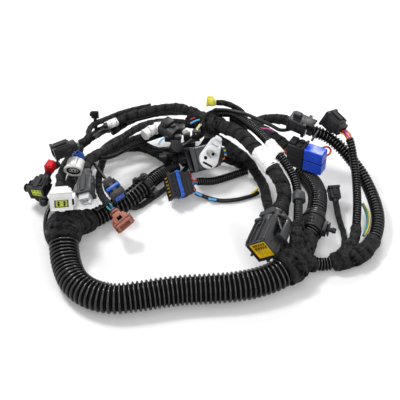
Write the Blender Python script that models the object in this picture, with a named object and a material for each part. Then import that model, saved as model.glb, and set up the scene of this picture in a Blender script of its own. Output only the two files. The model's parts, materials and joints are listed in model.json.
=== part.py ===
"""Vehicle engine-bay wiring harness: corrugated conduits, taped bundles, tape junctions and plugs.

Metres, +Z up, origin at the bottom centre of the whole harness. +X runs along its length.
Bundles follow routes chosen by hand, and each is laid over those that lie under it.
"""

import math

import bmesh
import bpy
import numpy as np
from mathutils import Matrix, Vector

MM = 0.001
CLEARANCE = 0.3 * MM  # air between two pieces that meet
END_CLEARANCE = 0.7 * MM  # air between two round ends that meet in a bend
END_FLAT = 0.5 * MM  # straight length at each end of a bundle, which squares its end face
END_BEND = 5 * MM  # short step behind it
LONGEST_STEP = 15 * MM  # between two points of a plain bundle
LAY_CLEARANCE = 1.0 * MM  # air between a bundle and the one it is laid over
PATH_STEP = 2.0 * MM
HUMP_LENGTH = 26.0 * MM  # how far to each side a bundle bends when it is lifted over another
FLOOR_GAP = 0.4  # millimetres, so that no facet dips below the floor
CENTRING = np.array((-4.7, -0.5, 0.0)) * MM  # from the routes' own origin to the middle of the whole
TAPE = 1.2 * MM  # cloth tape built up round a bundle at a junction

# Conduits and bundles, outer radius
MAIN_RADIUS = 15.8 * MM
DIAGONAL_RADIUS = 10.8 * MM
FINE_RADIUS = 8.6 * MM
RIGHT_RADIUS = 10.8 * MM
SHORT_RADIUS = 7.2 * MM
OUTER_RADIUS = 7.4 * MM
INNER_RADIUS = 4.9 * MM
CLIP_BRANCH_RADIUS = 3.4 * MM
BRAID_RADIUS = 8.2 * MM
PARALLEL_RADIUS = 5.0 * MM
UNDER_RADIUS = 5.8 * MM
CENTRE_RADIUS = 4.6 * MM
LOOP_RADIUS = 2.4 * MM
ARC_RADIUS = 5.2 * MM
SECOND_ARC_RADIUS = 4.2 * MM
THIRD_ARC_RADIUS = 3.2 * MM
LOW_ARC_RADIUS = 6.4 * MM
PLUG_BRANCH_RADIUS = 4.0 * MM
LEAD_RADIUS = 1.8 * MM
TOP_RADIUS = 6.0 * MM
SOCKET_RADIUS = 5.2 * MM
SLEEVE_RADIUS = 3.4 * MM

# Corrugation
MAIN_PITCH = 4.4 * MM
DIAGONAL_PITCH = 5.0 * MM
RIGHT_PITCH = 5.4 * MM
RIB_DEPTH = 1.7 * MM

# Plastic plugs. Sizes of each: length, width and height of the body, its wall, depth of the mouth,
# radius and length of the round neck behind it, and how far the holder lies behind the rim.
ECU = {"length": 50 * MM, "width": 24 * MM, "height": 23.6 * MM, "wall": 1.7 * MM, "mouth": 20 * MM,
       "neck_radius": 10.5 * MM, "neck": 3 * MM, "insert_inset": 1.0 * MM}
ECU_BOOT_LENGTH = 11 * MM
ECU_RIB = 2.0 * MM  # how far its ribs stand out
ECU_RIB_HALF = 0.9 * MM
ECU_COLLAR = 2.6 * MM  # how far the collar behind the ribs stands out
ECU_WING = {"start": 9 * MM, "end": 33 * MM, "reach": 8 * MM, "low": -8 * MM, "high": 1 * MM, "bar": 2.6 * MM}
ECU_CUP = (1.2 * MM, 7 * MM)  # wall and depth of the yellow holder's cup
ECU_PIN = (5 * MM, 1.0 * MM, 2.0 * MM)  # length, width and height of a blade
ECU_PIN_STEP = 4.4 * MM
WHITE = {"length": 23 * MM, "width": 21 * MM, "height": 18 * MM, "wall": 2.2 * MM, "mouth": 14 * MM,
         "neck_radius": 5.0 * MM, "neck": 4 * MM, "insert_inset": 1.5 * MM}
BLACK = {"length": 21 * MM, "width": 18 * MM, "height": 15 * MM, "wall": 2.0 * MM, "mouth": 13 * MM,
         "neck_radius": 5.5 * MM, "neck": 5 * MM, "insert_inset": 1.5 * MM}
GREY = {"length": 26 * MM, "width": 16 * MM, "height": 14 * MM, "wall": 1.8 * MM, "mouth": 9 * MM,
        "neck_radius": 5.5 * MM, "neck": 6 * MM, "insert_inset": -7 * MM}
BAND = {"length": 21 * MM, "width": 15 * MM, "height": 12 * MM, "wall": 1.6 * MM, "mouth": 9 * MM,
        "neck_radius": 4.0 * MM, "neck": 4 * MM, "insert_inset": -1.5 * MM}
FLAT = {"length": 22 * MM, "width": 17 * MM, "height": 12 * MM, "wall": 1.8 * MM, "mouth": 11 * MM,
        "neck_radius": 4.2 * MM, "neck": 4 * MM}
SENSOR = {"length": 20 * MM, "width": 19 * MM, "height": 16 * MM, "wall": 1.8 * MM, "mouth": 10 * MM,
          "neck_radius": 5.8 * MM, "neck": 4 * MM}
SMALL = {"length": 15 * MM, "width": 11 * MM, "height": 10 * MM, "wall": 1.5 * MM, "mouth": 8 * MM,
         "neck_radius": 3.6 * MM, "neck": 4 * MM}
YELLOW = {"length": 9 * MM, "width": 10 * MM, "height": 9 * MM, "wall": 1.4 * MM, "mouth": 3.5 * MM,
          "neck_radius": 3.8 * MM, "neck": 2 * MM}
SECOND = {"length": 23 * MM, "width": 20 * MM, "height": 15 * MM, "wall": 2 * MM, "mouth": 10 * MM}
SECOND_LIFT = 13.6 * MM  # from the bundle that it lies on to its own middle
SECOND_ASIDE = TOP_RADIUS + 7 * MM
SECOND_BLOCK = (9 * MM, 8 * MM, 6 * MM)  # the raised block on its top
RED = {"length": 12 * MM, "width": 10 * MM, "height": 7.5 * MM}
OVAL = {"length": 12 * MM, "width": 12 * MM, "height": 10 * MM, "shell": 17 * MM, "shell_width": 20 * MM,
        "shell_height": 14 * MM, "wall": 1.8 * MM, "mouth": 12 * MM}
SHROUD = {"length": 22 * MM, "width": 24 * MM, "height": 17 * MM, "wall": 1.8 * MM, "mouth": 16 * MM}
OVAL_SOCKET_PLACE = (-54 * MM, 118 * MM, 45 * MM)
OVAL_SOCKET_HEADING = (0.76, -0.64, -0.08)
INJECTOR = {"length": 13 * MM, "width": 16 * MM, "height": 14 * MM, "wall": 1.8 * MM, "mouth": 9 * MM,
            "neck_radius": 4.8 * MM, "neck": 10 * MM}
INJECTOR_FLANGE = 3.4 * MM
WIDE = {"length": 22 * MM, "width": 28 * MM, "height": 13 * MM, "wall": 1.8 * MM, "mouth": 7 * MM,
        "neck_radius": 5.2 * MM, "neck": 5 * MM}
WIDE_LOCK = (4.0 * MM, 23 * MM, 3.4 * MM)
WIDE_LOCK_PLACE = 0.42
RIM = 1.2 * MM  # how far a mouth's rim stands out
LATCH_HEIGHT = 2.4 * MM
RIB_HALF = 0.8 * MM  # half the width of a rib or keyway

# The plug with the cam lever: its body, and the lever that swings on the round boss of the body
LEVER_BODY = (34 * MM, 27 * MM, 18 * MM)
LEVER_NECK = 4 * MM
LEVER_WALL = 2 * MM
LEVER_MOUTH = 14 * MM
LEVER_PIVOT = (15 * MM, 3 * MM)  # from the body's rear face, and to the side
LEVER_BOSS = 4.0 * MM
LEVER_REACH = 27 * MM
LEVER_EYE = 11.5 * MM
LEVER_CHEEK = 2.8 * MM
LEVER_TAB = 7 * MM
LEVER_HOLE = (2.2 * MM, 9.6 * MM)  # radius, and distance from the pivot
LEVER_REST = -130  # degrees from the mouth's direction

# The relay socket and its two relays
SOCKET = (20 * MM, 17 * MM, 30 * MM)  # along its bundle, across, and high
SOCKET_NECK = 3 * MM
RELAY = (23 * MM, 15 * MM, 14.4 * MM)  # length, depth and height of the blue case
RELAY_STEP = 14.8 * MM
RELAY_FOOT = 4 * MM

WHITE_TAPE = [("braided_bundle", 97 * MM, 128 * MM), ("second_bundle", 112 * MM, 134 * MM)]


def route(radius, points, start=None, end=None):
    """A bundle: its points in millimetres, z 0 where it lies on the floor. An end is a length in
    metres that a junction's tape covers, the name of the bundle whose side it leaves,
    ("tip", name) where it meets the end of another, or None."""
    return {"radius": radius, "points": points, "start": start, "end": end}


ROUTES = {
    "main_conduit": route(MAIN_RADIUS, [
        (-144, -36, 27), (-144, -56, 26), (-142, -72, 21), (-136, -94, 17), (-127, -112, 0),
        (-111, -126, 0), (-90, -133, 0), (-66, -131, 0), (-42, -126, 0), (-18, -122, 0),
        (8, -120, 0), (36, -117, 0), (62, -110, 0), (83, -100, 18), (99, -85, 20),
    ], start=25 * MM, end=19 * MM),
    "diagonal_conduit": route(DIAGONAL_RADIUS, [
        (-144, -36, 27), (-133, -27, 20), (-119, -12, 0), (-104, 0, 0), (-87, 13, 0),
        (-70, 32, 13), (-60, 45, 13),
    ], start=36 * MM),
    "fine_conduit": route(FINE_RADIUS, [
        (-60, 45, 13), (-50, 58, 12.8), (-39, 71, 10), (-28, 82, 0),
    ], start=("tip", "diagonal_conduit")),
    "lower_arc": route(LOW_ARC_RADIUS, [
        (-144, -36, 24), (-149, -10, 17), (-153, 21, 8), (-150, 56, 0), (-139, 85, 0),
        (-120, 108, 0), (-96, 119, 0), (-72, 121, 0), (-50, 108, 0), (-34, 85, 0),
    ], start=34 * MM, end="fine_conduit"),
    "under_branch": route(UNDER_RADIUS, [
        (99, -85, 20), (90, -52, 9), (79, -8, 0), (76, 22, 0), (73, 50, 0), (66, 70, 8),
        (55, 82, 18), (44, 84, 27), (34, 81, 32), (23, 76, 33),
    ], start=30 * MM),
    "right_conduit": route(RIGHT_RADIUS, [
        (99, -85, 20), (108, -64, 22), (116, -46, 22), (122, -29, 23), (128, -8, 23),
        (131, 14, 21), (130, 35, 17), (125, 54, 13), (117, 70, 0),
    ], start=38 * MM),
    "short_conduit": route(SHORT_RADIUS, [
        (99, -85, 20), (110, -82, 15), (121, -79, 10), (134, -77, 0), (146, -74, 9.6),
    ], start=24 * MM, end=8 * MM),
    "clip_branch": route(CLIP_BRANCH_RADIUS, [
        (146, -74, 9.6), (151, -61, 6), (156, -44, 0), (157, -24, 0), (154, -5, 6), (152, 13, 13),
    ], start=24 * MM),
    "outer_conduit": route(OUTER_RADIUS, [
        (146, -74, 9.6), (160, -70, 10), (174, -62, 11), (185, -48, 12), (192, -31, 14), (195, -14, 16),
        (194, 6, 19), (190, 25, 23), (183, 44, 29), (173, 60, 36), (160, 75, 44), (146, 84, 51),
        (131, 92, 53),
    ], start=38 * MM),
    "inner_conduit": route(INNER_RADIUS, [
        (146, -74, 9.6), (157, -62, 12), (166, -45, 15), (170, -24, 19), (173, 0, 25),
        (174, 24, 33), (173, 44, 44), (171, 59, 55), (167, 71, 62), (161, 78, 65),
    ], start=32 * MM),
    "top_bundle": route(TOP_RADIUS, [
        (6, 118, 46), (22, 121, 41), (38, 115, 41), (52, 112, 46), (66, 114, 50), (80, 115, 53),
        (93, 112, 55), (108, 104, 56), (131, 92, 53),
    ], start=24 * MM, end=("tip", "outer_conduit")),
    "braided_bundle": route(BRAID_RADIUS, [
        (6, 118, 46), (23, 103, 52), (42, 84, 58), (58, 58, 60), (70, 35, 60), (80, 16, 58),
        (88, 3, 52), (91, -6, 46), (90, -15, 41), (86, -26, 40),
    ], start=24 * MM),
    "second_bundle": route(PARALLEL_RADIUS, [
        (6, 118, 46), (20, 121, 56), (35, 113, 63), (52.5, 91, 67), (69.3, 64.6, 68.5), (81.6, 41.6, 68),
        (94, 22, 62), (103.5, 3, 52), (105, -22, 45), (103, -44, 43), (101, -66, 37),
        (99, -85, 20),
    ], start=22 * MM, end=42 * MM),
    "outer_arc": route(ARC_RADIUS, [
        (-144, -36, 28), (-150, -14, 32), (-156, 6, 30), (-158, 36, 21), (-157, 62, 21),
        (-148, 86, 25), (-130, 104, 33), (-108, 117, 40), (-86, 128, 46), (-65, 136, 48),
        (-41, 141, 50), (-19, 137, 51), (6, 118, 46),
    ], start=34 * MM, end=26 * MM),
    "second_arc": route(SECOND_ARC_RADIUS, [
        (6, 118, 46), (-19, 125, 40), (-44, 123, 43), (-68, 108, 48), (-88, 88, 48), (-100, 72, 48),
        (-111, 57, 50), (-119, 45, 52), (-124, 33, 52), (-124, 21, 50),
    ], start=26 * MM),
    "third_arc": route(THIRD_ARC_RADIUS, [
        (-41, 141, 50), (-56, 147, 49), (-72, 143, 48), (-93, 135, 47), (-112, 122, 47),
        (-124, 107, 51), (-128, 93, 54), (-128, 80, 55), (-133, 71, 55), (-142, 66, 54),
    ], start="outer_arc"),
    "white_plug_branch": route(CLIP_BRANCH_RADIUS, [
        (-158, 38, 21), (-158, 31, 36), (-155, 18, 46), (-151, 5, 46), (-148, -7, 48), (-147, -16, 52),
    ], start="outer_arc"),
    "black_plug_branch": route(PLUG_BRANCH_RADIUS, [
        (-156, 72, 22), (-163, 63, 28), (-170, 51, 29), (-174, 39, 28),
    ], start="outer_arc"),
    "oval_plug_branch": route(CLIP_BRANCH_RADIUS, [
        (-142, 95, 28), (-139, 88, 33), (-138, 80, 36), (-139, 71, 36),
    ], start="outer_arc"),
    "injector_branch": route(PLUG_BRANCH_RADIUS, [
        (-100, 72, 48), (-108, 64, 40), (-113, 48, 32), (-114, 33, 28), (-111, 14, 30),
        (-107, 0, 35), (-102, -11, 36), (-94, -21, 33),
    ], start="second_arc"),
    "band_plug_lead": route(LEAD_RADIUS, [
        (-119, 46, 52), (-118, 40, 48), (-112, 32, 44), (-103, 20, 40),
    ], start="second_arc"),
    "centre_cable": route(CENTRE_RADIUS, [
        (66, 76, 9), (56, 77, 6), (43, 72, 0), (27, 63, 6), (12, 53, 10), (-1, 46, 16), (-12, 41, 18),
    ], start="under_branch"),
    "thin_loop": route(LOOP_RADIUS, [
        (74, 50, 6), (66, 41, 0), (54, 34, 0), (38, 29, 0), (24, 28, 0), (8, 32, 4), (-5, 35, 8),
    ], start="under_branch"),
    "socket_bundle": route(SOCKET_RADIUS, [
        (62, 113, 49), (70, 100, 49), (79, 88, 47), (89, 78, 43), (99, 72, 42),
    ], start="top_bundle"),
    "yellow_plug_sleeve": route(SLEEVE_RADIUS, [
        (56, 113, 48), (49, 118, 58), (40, 120, 63), (29, 123, 67), (19, 124, 69),
    ], start="top_bundle"),
}

# Tape junctions: the bundles whose covered ends each one joins
JUNCTIONS = {
    "left_tape_junction": [("main_conduit", "start"), ("diagonal_conduit", "start"),
                           ("lower_arc", "start"), ("outer_arc", "start")],
    "right_tape_junction": [("main_conduit", "end"), ("under_branch", "start"), ("right_conduit", "start"),
                            ("short_conduit", "start"), ("second_bundle", "end")],
    "corner_tape_junction": [("short_conduit", "end"), ("clip_branch", "start"),
                             ("outer_conduit", "start"), ("inner_conduit", "start")],
    "back_tape_junction": [("braided_bundle", "start"), ("second_bundle", "start"),
                           ("outer_arc", "end"), ("second_arc", "start"), ("top_bundle", "start")],
}


def clear_scene():
    for obj in list(bpy.data.objects):
        bpy.data.objects.remove(obj, do_unlink=True)


def finish(name, colour, roughness, metallic=0.0):
    """The Principled material of one kind of surface."""
    material = bpy.data.materials.get(name)
    if material is None:
        material = bpy.data.materials.new(name)
        material.use_nodes = True
        shader = material.node_tree.nodes["Principled BSDF"]
        shader.inputs["Base Color"].default_value = (*colour, 1.0)
        shader.inputs["Roughness"].default_value = roughness
        shader.inputs["Metallic"].default_value = metallic
    return material


def distances(path):
    """Distance along a path at each of its points."""
    steps = np.linalg.norm(np.diff(path, axis=0), axis=1)
    return np.concatenate([[0.0], np.cumsum(steps)])


def resample(path, count):
    """The same path with `count` evenly spaced points."""
    return at_places(path, np.linspace(0.0, distances(path)[-1], count))


def at_places(path, places):
    """The points of a path at given distances along it."""
    along = distances(path)
    return np.stack([np.interp(places, along, path[:, axis]) for axis in range(3)], axis=1)


def part_of(path, first, last):
    """The stretch of a path from one distance to another, with its own end points."""
    along = distances(path)
    inside = along[(along > first) & (along < last)]
    return at_places(path, np.concatenate([[first], inside, [last]]))


def smooth_curve(points, step):
    """Even points on a smooth curve through the route's own points."""
    points = np.array(points)
    along = distances(points)
    slopes = np.gradient(points, along, axis=0)
    fine = []
    for i in range(len(points) - 1):
        span = along[i + 1] - along[i]
        for t in np.linspace(0.0, 1.0, 12, endpoint=False):
            fine.append((2 * t**3 - 3 * t**2 + 1) * points[i] + (t**3 - 2 * t**2 + t) * span * slopes[i]
                        + (3 * t**2 - 2 * t**3) * points[i + 1] + (t**3 - t**2) * span * slopes[i + 1])
    fine.append(points[-1])
    fine = np.array(fine)
    return resample(fine, max(2, round(distances(fine)[-1] / step)) + 1)


def lay_over(path, radius, laid, free_start, free_end):
    """Lifts a path in smooth humps wherever it would touch a bundle that lies under it."""
    along = distances(path)
    held = (along > free_start) & (along < along[-1] - free_end)
    apart = np.abs(along[:, None] - along[None, :])
    path = path.copy()
    for _ in range(6):
        lift = np.zeros(len(path))
        for other, other_radius in laid:
            reach = radius + other_radius + LAY_CLEARANCE
            flat = np.linalg.norm(path[:, None, :2] - other[None, :, :2], axis=2)
            drop = other[None, :, 2] - path[:, None, 2]
            need = drop + np.sqrt(np.maximum(reach**2 - flat**2, 0.0))
            touching = np.hypot(flat, drop) < reach
            lift = np.maximum(lift, np.where(touching, need, 0.0).max(axis=1) * held)
        if lift.max() < 0.05 * MM:
            break
        hump = 0.5 + 0.5 * np.cos(np.pi * np.minimum(apart / (HUMP_LENGTH + radius), 1.0))
        path[:, 2] += (hump * lift[None, :]).max(axis=1)
    return path


def nearest(path, point):
    return path[np.argmin(np.linalg.norm(path - point, axis=1))]


def left_by(path, radius, trunk, trunk_radius):
    """How far along a branch its end face has come clear of the bundle that it leaves."""
    along = distances(path)
    heading = np.gradient(path, along, axis=0)
    for place, point, direction in zip(along, path, heading):
        away = nearest(trunk, point) - point
        distance = np.linalg.norm(away)
        if distance < trunk_radius:
            continue
        cosine = np.dot(away, direction) / distance / np.linalg.norm(direction)
        if distance - trunk_radius - radius * math.sqrt(max(0.0, 1 - cosine**2)) >= CLEARANCE:
            return place
    return along[-1]


def lay_all():
    """The laid path of every bundle, and the stretch of it that shows."""
    laid = {}
    for name, plan in ROUTES.items():
        radius = plan["radius"]
        points = [np.array((x, y, max(z, radius / MM + FLOOR_GAP))) * MM + CENTRING for x, y, z in plan["points"]]
        for end, index in (("start", 0), ("end", -1)):
            if isinstance(plan[end], str):
                points[index] = nearest(laid[plan[end]]["path"], points[index])
            elif isinstance(plan[end], tuple):
                points[index] = laid[plan[end][1]]["path"][-1]
        shown = [(part_of(other["path"], *other["span"]), other["radius"]) for key, other in laid.items()
                 if key not in (plan["start"], plan["end"])]
        free = [held_length(plan, end, laid) for end in ("start", "end")]
        path = lay_over(smooth_curve(points, PATH_STEP), radius, shown, *free)
        first = end_place(path, plan, "start", laid)
        last = distances(path)[-1] - end_place(path[::-1], plan, "end", laid)
        laid[name] = {"path": path, "radius": radius, "span": (first, last)}
    return laid


def held_length(plan, end, laid):
    """How much of an end stays where it is, because a junction or another bundle holds it."""
    held = plan[end]
    if isinstance(held, (str, tuple)):
        other = held if isinstance(held, str) else held[1]
        return 2.2 * (plan["radius"] + laid[other]["radius"])
    return held or 0.0


def end_place(path, plan, end, laid):
    """How far in from an end of its path a bundle begins to show."""
    held = plan[end]
    if isinstance(held, str):
        trunk = laid[held]
        fine = resample(path, 6 * len(path))
        return left_by(fine, plan["radius"], resample(trunk["path"], 2000), trunk["radius"])
    if isinstance(held, tuple):
        return END_CLEARANCE
    return held + END_CLEARANCE if held else 0.0


def square_ends(path, count):
    """A path resampled, with a short straight step at each end that squares its end faces."""
    length = distances(path)[-1]
    inner = resample(part_of(path, END_FLAT, length - END_FLAT), count)
    return np.concatenate([path[:1], inner, path[-1:]])


def curve_tube(name, path, radius, material, sides=10, factors=None):
    """A round tube along a path, as a bevelled curve with filled caps."""
    curve = bpy.data.curves.new(name, "CURVE")
    curve.dimensions = "3D"
    curve.bevel_depth = radius
    curve.bevel_resolution = (sides - 4) // 2
    curve.use_fill_caps = True
    spline = curve.splines.new("POLY")
    spline.points.add(len(path) - 1)
    for index, place in enumerate(path):
        spline.points[index].co = (*place, 1.0)
        spline.points[index].radius = 1.0 if factors is None else factors[index]
    obj = bpy.data.objects.new(name, curve)
    curve.materials.append(material)
    bpy.context.scene.collection.objects.link(obj)
    return obj


def plain_bundle(name, laid, material, sides=8):
    """A taped bundle, with a point every two diameters or so."""
    run = laid[name]
    path = part_of(run["path"], *run["span"])
    length = distances(path)[-1]
    step = min(4 * run["radius"], LONGEST_STEP)
    ends = [0.0, END_FLAT, END_FLAT + END_BEND]
    places = ends + list(np.linspace(ends[-1], length - ends[-1], max(2, round(length / step)))[1:-1])
    places += [length - place for place in reversed(ends)]
    run["shown"], run["sides"] = at_places(path, places), sides
    return curve_tube(name, run["shown"], run["radius"], material, sides)


def corrugated(name, laid, pitch, material, sides=10):
    """A ribbed conduit: the curve's radius swings between crest and groove, one rib each pitch."""
    run = laid[name]
    path = part_of(run["path"], *run["span"])
    ribs = round(distances(path)[-1] / pitch)
    path = square_ends(path, 2 * ribs + 1)
    run["shown"], run["sides"] = path, sides
    groove = 1.0 - RIB_DEPTH / run["radius"]
    factors = [1.0 if index % 2 == 0 and 0 < index < 2 * ribs + 2 else groove for index in range(2 * ribs + 3)]
    return curve_tube(name, path, run["radius"], material, sides, factors)


def mesh_of(obj):
    """The evaluated mesh of an object, as a mesh of its own."""
    graph = bpy.context.evaluated_depsgraph_get()
    return bpy.data.meshes.new_from_object(obj.evaluated_get(graph))


def solid(name, base, adds=(), cuts=(), material=None):
    """One object: a base mesh with others united to it and others cut from it."""
    obj = bpy.data.objects.new(name, base)
    bpy.context.scene.collection.objects.link(obj)
    helpers = []
    for meshes, operation in ((adds, "UNION"), (cuts, "DIFFERENCE")):
        for mesh in meshes:
            helper = bpy.data.objects.new(name + "_helper", mesh)
            bpy.context.scene.collection.objects.link(helper)
            helpers.append(helper)
            modifier = obj.modifiers.new(operation.lower(), "BOOLEAN")
            modifier.operation = operation
            modifier.object = helper
    if helpers:
        mesh = mesh_of(obj)
        obj.modifiers.clear()
        obj.data = mesh
        for helper in helpers:
            bpy.data.objects.remove(helper, do_unlink=True)
    obj.data.materials.clear()
    obj.data.materials.append(material)
    obj.data.shade_smooth()
    obj.data.set_sharp_from_angle(angle=math.radians(35))
    return obj


def cut_then_join(name, base, cuts, adds, material):
    """A solid that is hollowed first, so that what is added stands in the hollow."""
    hollowed = solid(name + "_hollowed", base, cuts=cuts, material=material)
    mesh = hollowed.data
    bpy.data.objects.remove(hollowed, do_unlink=True)
    return solid(name, mesh, adds, material=material)


def tape_junction(name, arms, laid, material):
    """Tape wound over the ends that meet: one swollen arm along each bundle's own path."""
    meshes = []
    for index, (bundle, end) in enumerate(arms):
        run = laid[bundle]
        length = distances(run["path"])[-1]
        cover = ROUTES[bundle][end]
        first, last = (0.0, cover) if end == "start" else (length - cover, length)
        path = square_ends(part_of(run["path"], first, last), 5)
        if end == "end":
            path = path[::-1].copy()
        path[0] += (path[0] - path[1]) / np.linalg.norm(path[0] - path[1]) * (2.0 + 1.3 * index) * MM
        factors = [1.06, 1.08, 1.08, 1.06, 1.03, 1.0, 1.0]
        helper = curve_tube(name + "_arm", path, run["radius"] + TAPE, material, 10, factors)
        meshes.append(mesh_of(helper))
        bpy.data.objects.remove(helper, do_unlink=True)
    return solid(name, meshes[0], adds=meshes[1:], material=material)


def build_bundles(laid):
    conduit = finish("conduit_black", (0.012, 0.012, 0.013), 0.32)
    tape = finish("cloth_tape", (0.018, 0.018, 0.019), 0.62)
    wire = finish("wire_black", (0.014, 0.014, 0.015), 0.42)
    corrugated("main_conduit", laid, MAIN_PITCH, conduit)
    corrugated("diagonal_conduit", laid, DIAGONAL_PITCH, conduit)
    corrugated("right_conduit", laid, RIGHT_PITCH, conduit)
    for name in ROUTES:
        if name in ("main_conduit", "diagonal_conduit", "right_conduit"):
            continue
        material = wire if ROUTES[name]["radius"] < 3 * MM else tape
        plain_bundle(name, laid, material, 10 if ROUTES[name]["radius"] > 5.5 * MM else 8)
    for name, arms in JUNCTIONS.items():
        tape_junction(name, arms, laid, tape)


def moulded_black():
    return finish("housing_black", (0.03, 0.031, 0.034), 0.4)


def block(size, centre=(0, 0, 0), bevel=0.0):
    """A box with its edges bevelled."""
    mesh = bpy.data.meshes.new("block")
    bm = bmesh.new()
    bmesh.ops.create_cube(bm, size=1.0)
    bmesh.ops.scale(bm, vec=size, verts=bm.verts)
    if bevel:
        bmesh.ops.bevel(bm, geom=bm.edges, offset=bevel, offset_type="OFFSET", segments=1,
                        profile=0.5, affect="EDGES", material=-1)
    bmesh.ops.translate(bm, vec=centre, verts=bm.verts)
    bm.to_mesh(mesh)
    bm.free()
    return mesh


def bar(x_span, y_span, z_span, bevel=0.0):
    """A block between two places on each axis."""
    spans = (x_span, y_span, z_span)
    return block([high - low for low, high in spans], [(low + high) / 2 for low, high in spans], bevel)


def post(radius, start, end, sides=12, end_radius=None):
    """A round post, or a cone, from one point to another."""
    start, end = Vector(start), Vector(end)
    mesh = bpy.data.meshes.new("post")
    bm = bmesh.new()
    bmesh.ops.create_cone(bm, cap_ends=True, segments=sides, radius1=radius,
                          radius2=radius if end_radius is None else end_radius, depth=(end - start).length)
    turn = (end - start).to_track_quat("Z", "Y").to_matrix().to_4x4()
    bmesh.ops.transform(bm, matrix=Matrix.Translation((start + end) / 2) @ turn, verts=bm.verts)
    bm.to_mesh(mesh)
    bm.free()
    return mesh


def slab(outline, low, high, axis="Z"):
    """A flat outline extruded between two heights. The outline is in Y and Z for axis X."""
    mesh = bpy.data.meshes.new("slab")
    bm = bmesh.new()
    lift = {"X": lambda a, b: (low, a, b), "Z": lambda a, b: (a, b, low)}[axis]
    face = bm.faces.new([bm.verts.new(lift(a, b)) for a, b in outline])
    grown = bmesh.ops.extrude_face_region(bm, geom=[face])
    moved = [item for item in grown["geom"] if isinstance(item, bmesh.types.BMVert)]
    bmesh.ops.translate(bm, vec=Vector((0, 0, high - low) if axis == "Z" else (high - low, 0, 0)), verts=moved)
    bmesh.ops.recalc_face_normals(bm, faces=bm.faces)
    bm.to_mesh(mesh)
    bm.free()
    return mesh


def oval(width, height, corners=20):
    return [(width / 2 * math.cos(2 * math.pi * i / corners), height / 2 * math.sin(2 * math.pi * i / corners))
            for i in range(corners)]


def heading_frame(origin, heading, roll):
    """A frame with X along the heading, Y level and Z up, then rolled about X (degrees)."""
    x = Vector(heading).normalized()
    y = Vector((0, 0, 1)).cross(x).normalized()
    z = x.cross(y)
    frame = Matrix((x, y, z)).transposed().to_4x4()
    return Matrix.Translation(origin) @ frame @ Matrix.Rotation(math.radians(roll), 4, "X")


def frame_at_end(laid, bundle, roll=0.0):
    """The frame of a plug that sits against the end face of its bundle."""
    path = laid[bundle]["shown"]
    heading = Vector(path[-1] - path[-2]).normalized()
    return heading_frame(Vector(path[-1]) + heading * CLEARANCE, heading, roll)


def set_down(name, frame):
    """An empty that carries the pieces of one plug."""
    mount = bpy.data.objects.new(name + "_place", None)
    mount.matrix_world = frame
    mount.empty_display_size = 5 * MM
    bpy.context.scene.collection.objects.link(mount)
    return mount


def seat(obj, mount, place=(0, 0, 0)):
    obj.parent = mount
    obj.location = place


def bore(laid, bundle, first, last):
    """The space that a stretch of a bundle needs inside a clip or a wrap."""
    run = laid[bundle]
    path = part_of(run["shown"], max(first, 0.0), min(last, distances(run["shown"])[-1]))
    flat_factor = 1 / math.cos(math.pi / run["sides"])
    helper = curve_tube(bundle + "_bore", path, (run["radius"] + CLEARANCE) * flat_factor, None, run["sides"] + 4)
    mesh = mesh_of(helper)
    bpy.data.objects.remove(helper, do_unlink=True)
    return mesh


def bore_near(laid, bundle, point, reach):
    """The bore round the stretch of a bundle within reach of a point."""
    path = laid[bundle]["shown"]
    fine = resample(path, 400)
    place = distances(fine)[np.argmin(np.linalg.norm(fine - np.array(point), axis=1))]
    return bore(laid, bundle, place - reach, place + reach)


def plug_parts(size, ribs=0, latch=True, grip=True, rim=True):
    """(base, adds, cuts) of a plug body that points along +X, with its neck at the origin."""
    neck, length, width, height = size.get("neck", 0.0), size["length"], size["width"], size["height"]
    bevel = min(width, height) * 0.09
    base = bar((neck, neck + length), (-width / 2, width / 2), (-height / 2, height / 2), bevel)
    adds = []
    if neck:
        adds.append(post(size["neck_radius"], (0, 0, 0), (neck + length / 4, 0, 0)))
    end = neck + length
    lip = length * 0.16
    if rim:
        adds.append(bar((end - lip, end), (-width / 2 - RIM, width / 2 + RIM),
                        (-height / 2 - RIM, height / 2 + RIM)))
    if latch:
        adds.append(bar((neck + length * 0.2, end - lip / 2), (-width * 0.16, width * 0.16),
                        (height / 2 - 1 * MM, height / 2 + LATCH_HEIGHT)))
    for index in range(ribs):
        y = width * (-0.4 + 0.8 * index / (ribs - 1))
        adds.append(bar((neck + length * 0.12, end - lip / 2), (y - RIB_HALF, y + RIB_HALF),
                        (-height / 2 - RIM * 0.8, -height / 2 + 1 * MM)))
    if grip:
        for side in (-1, 1):
            adds.append(bar((neck + length * 0.18, neck + length * 0.5),
                            sorted((side * (width / 2 - 1 * MM), side * (width / 2 + RIM))),
                            (-height * 0.3, height * 0.3)))
    inner = (width / 2 - size["wall"], height / 2 - size["wall"])
    cuts = [bar((end - size["mouth"], end + 5 * MM), (-inner[0], inner[0]), (-inner[1], inner[1]))]
    return base, adds, cuts


def insert_mesh(size, columns, rows, hole):
    """(base, cuts) of the terminal holder that fills a plug's mouth, with its terminal holes."""
    end = size.get("neck", 0.0) + size["length"]
    half_width = size["width"] / 2 - size["wall"] - CLEARANCE
    half_height = size["height"] / 2 - size["wall"] - CLEARANCE
    start, front = end - size["mouth"] + CLEARANCE, end - size["insert_inset"]
    base = bar((start, front), (-half_width, half_width), (-half_height, half_height))
    cuts = []
    for column in range(columns):
        for row in range(rows):
            y = half_width * (2 * (column + 0.5) / columns - 1) * 0.86
            z = half_height * (2 * (row + 0.5) / rows - 1) * 0.86
            cuts.append(post(hole, (front - 3 * MM, y, z), (front + 2 * MM, y, z), 8))
    return base, cuts


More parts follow.
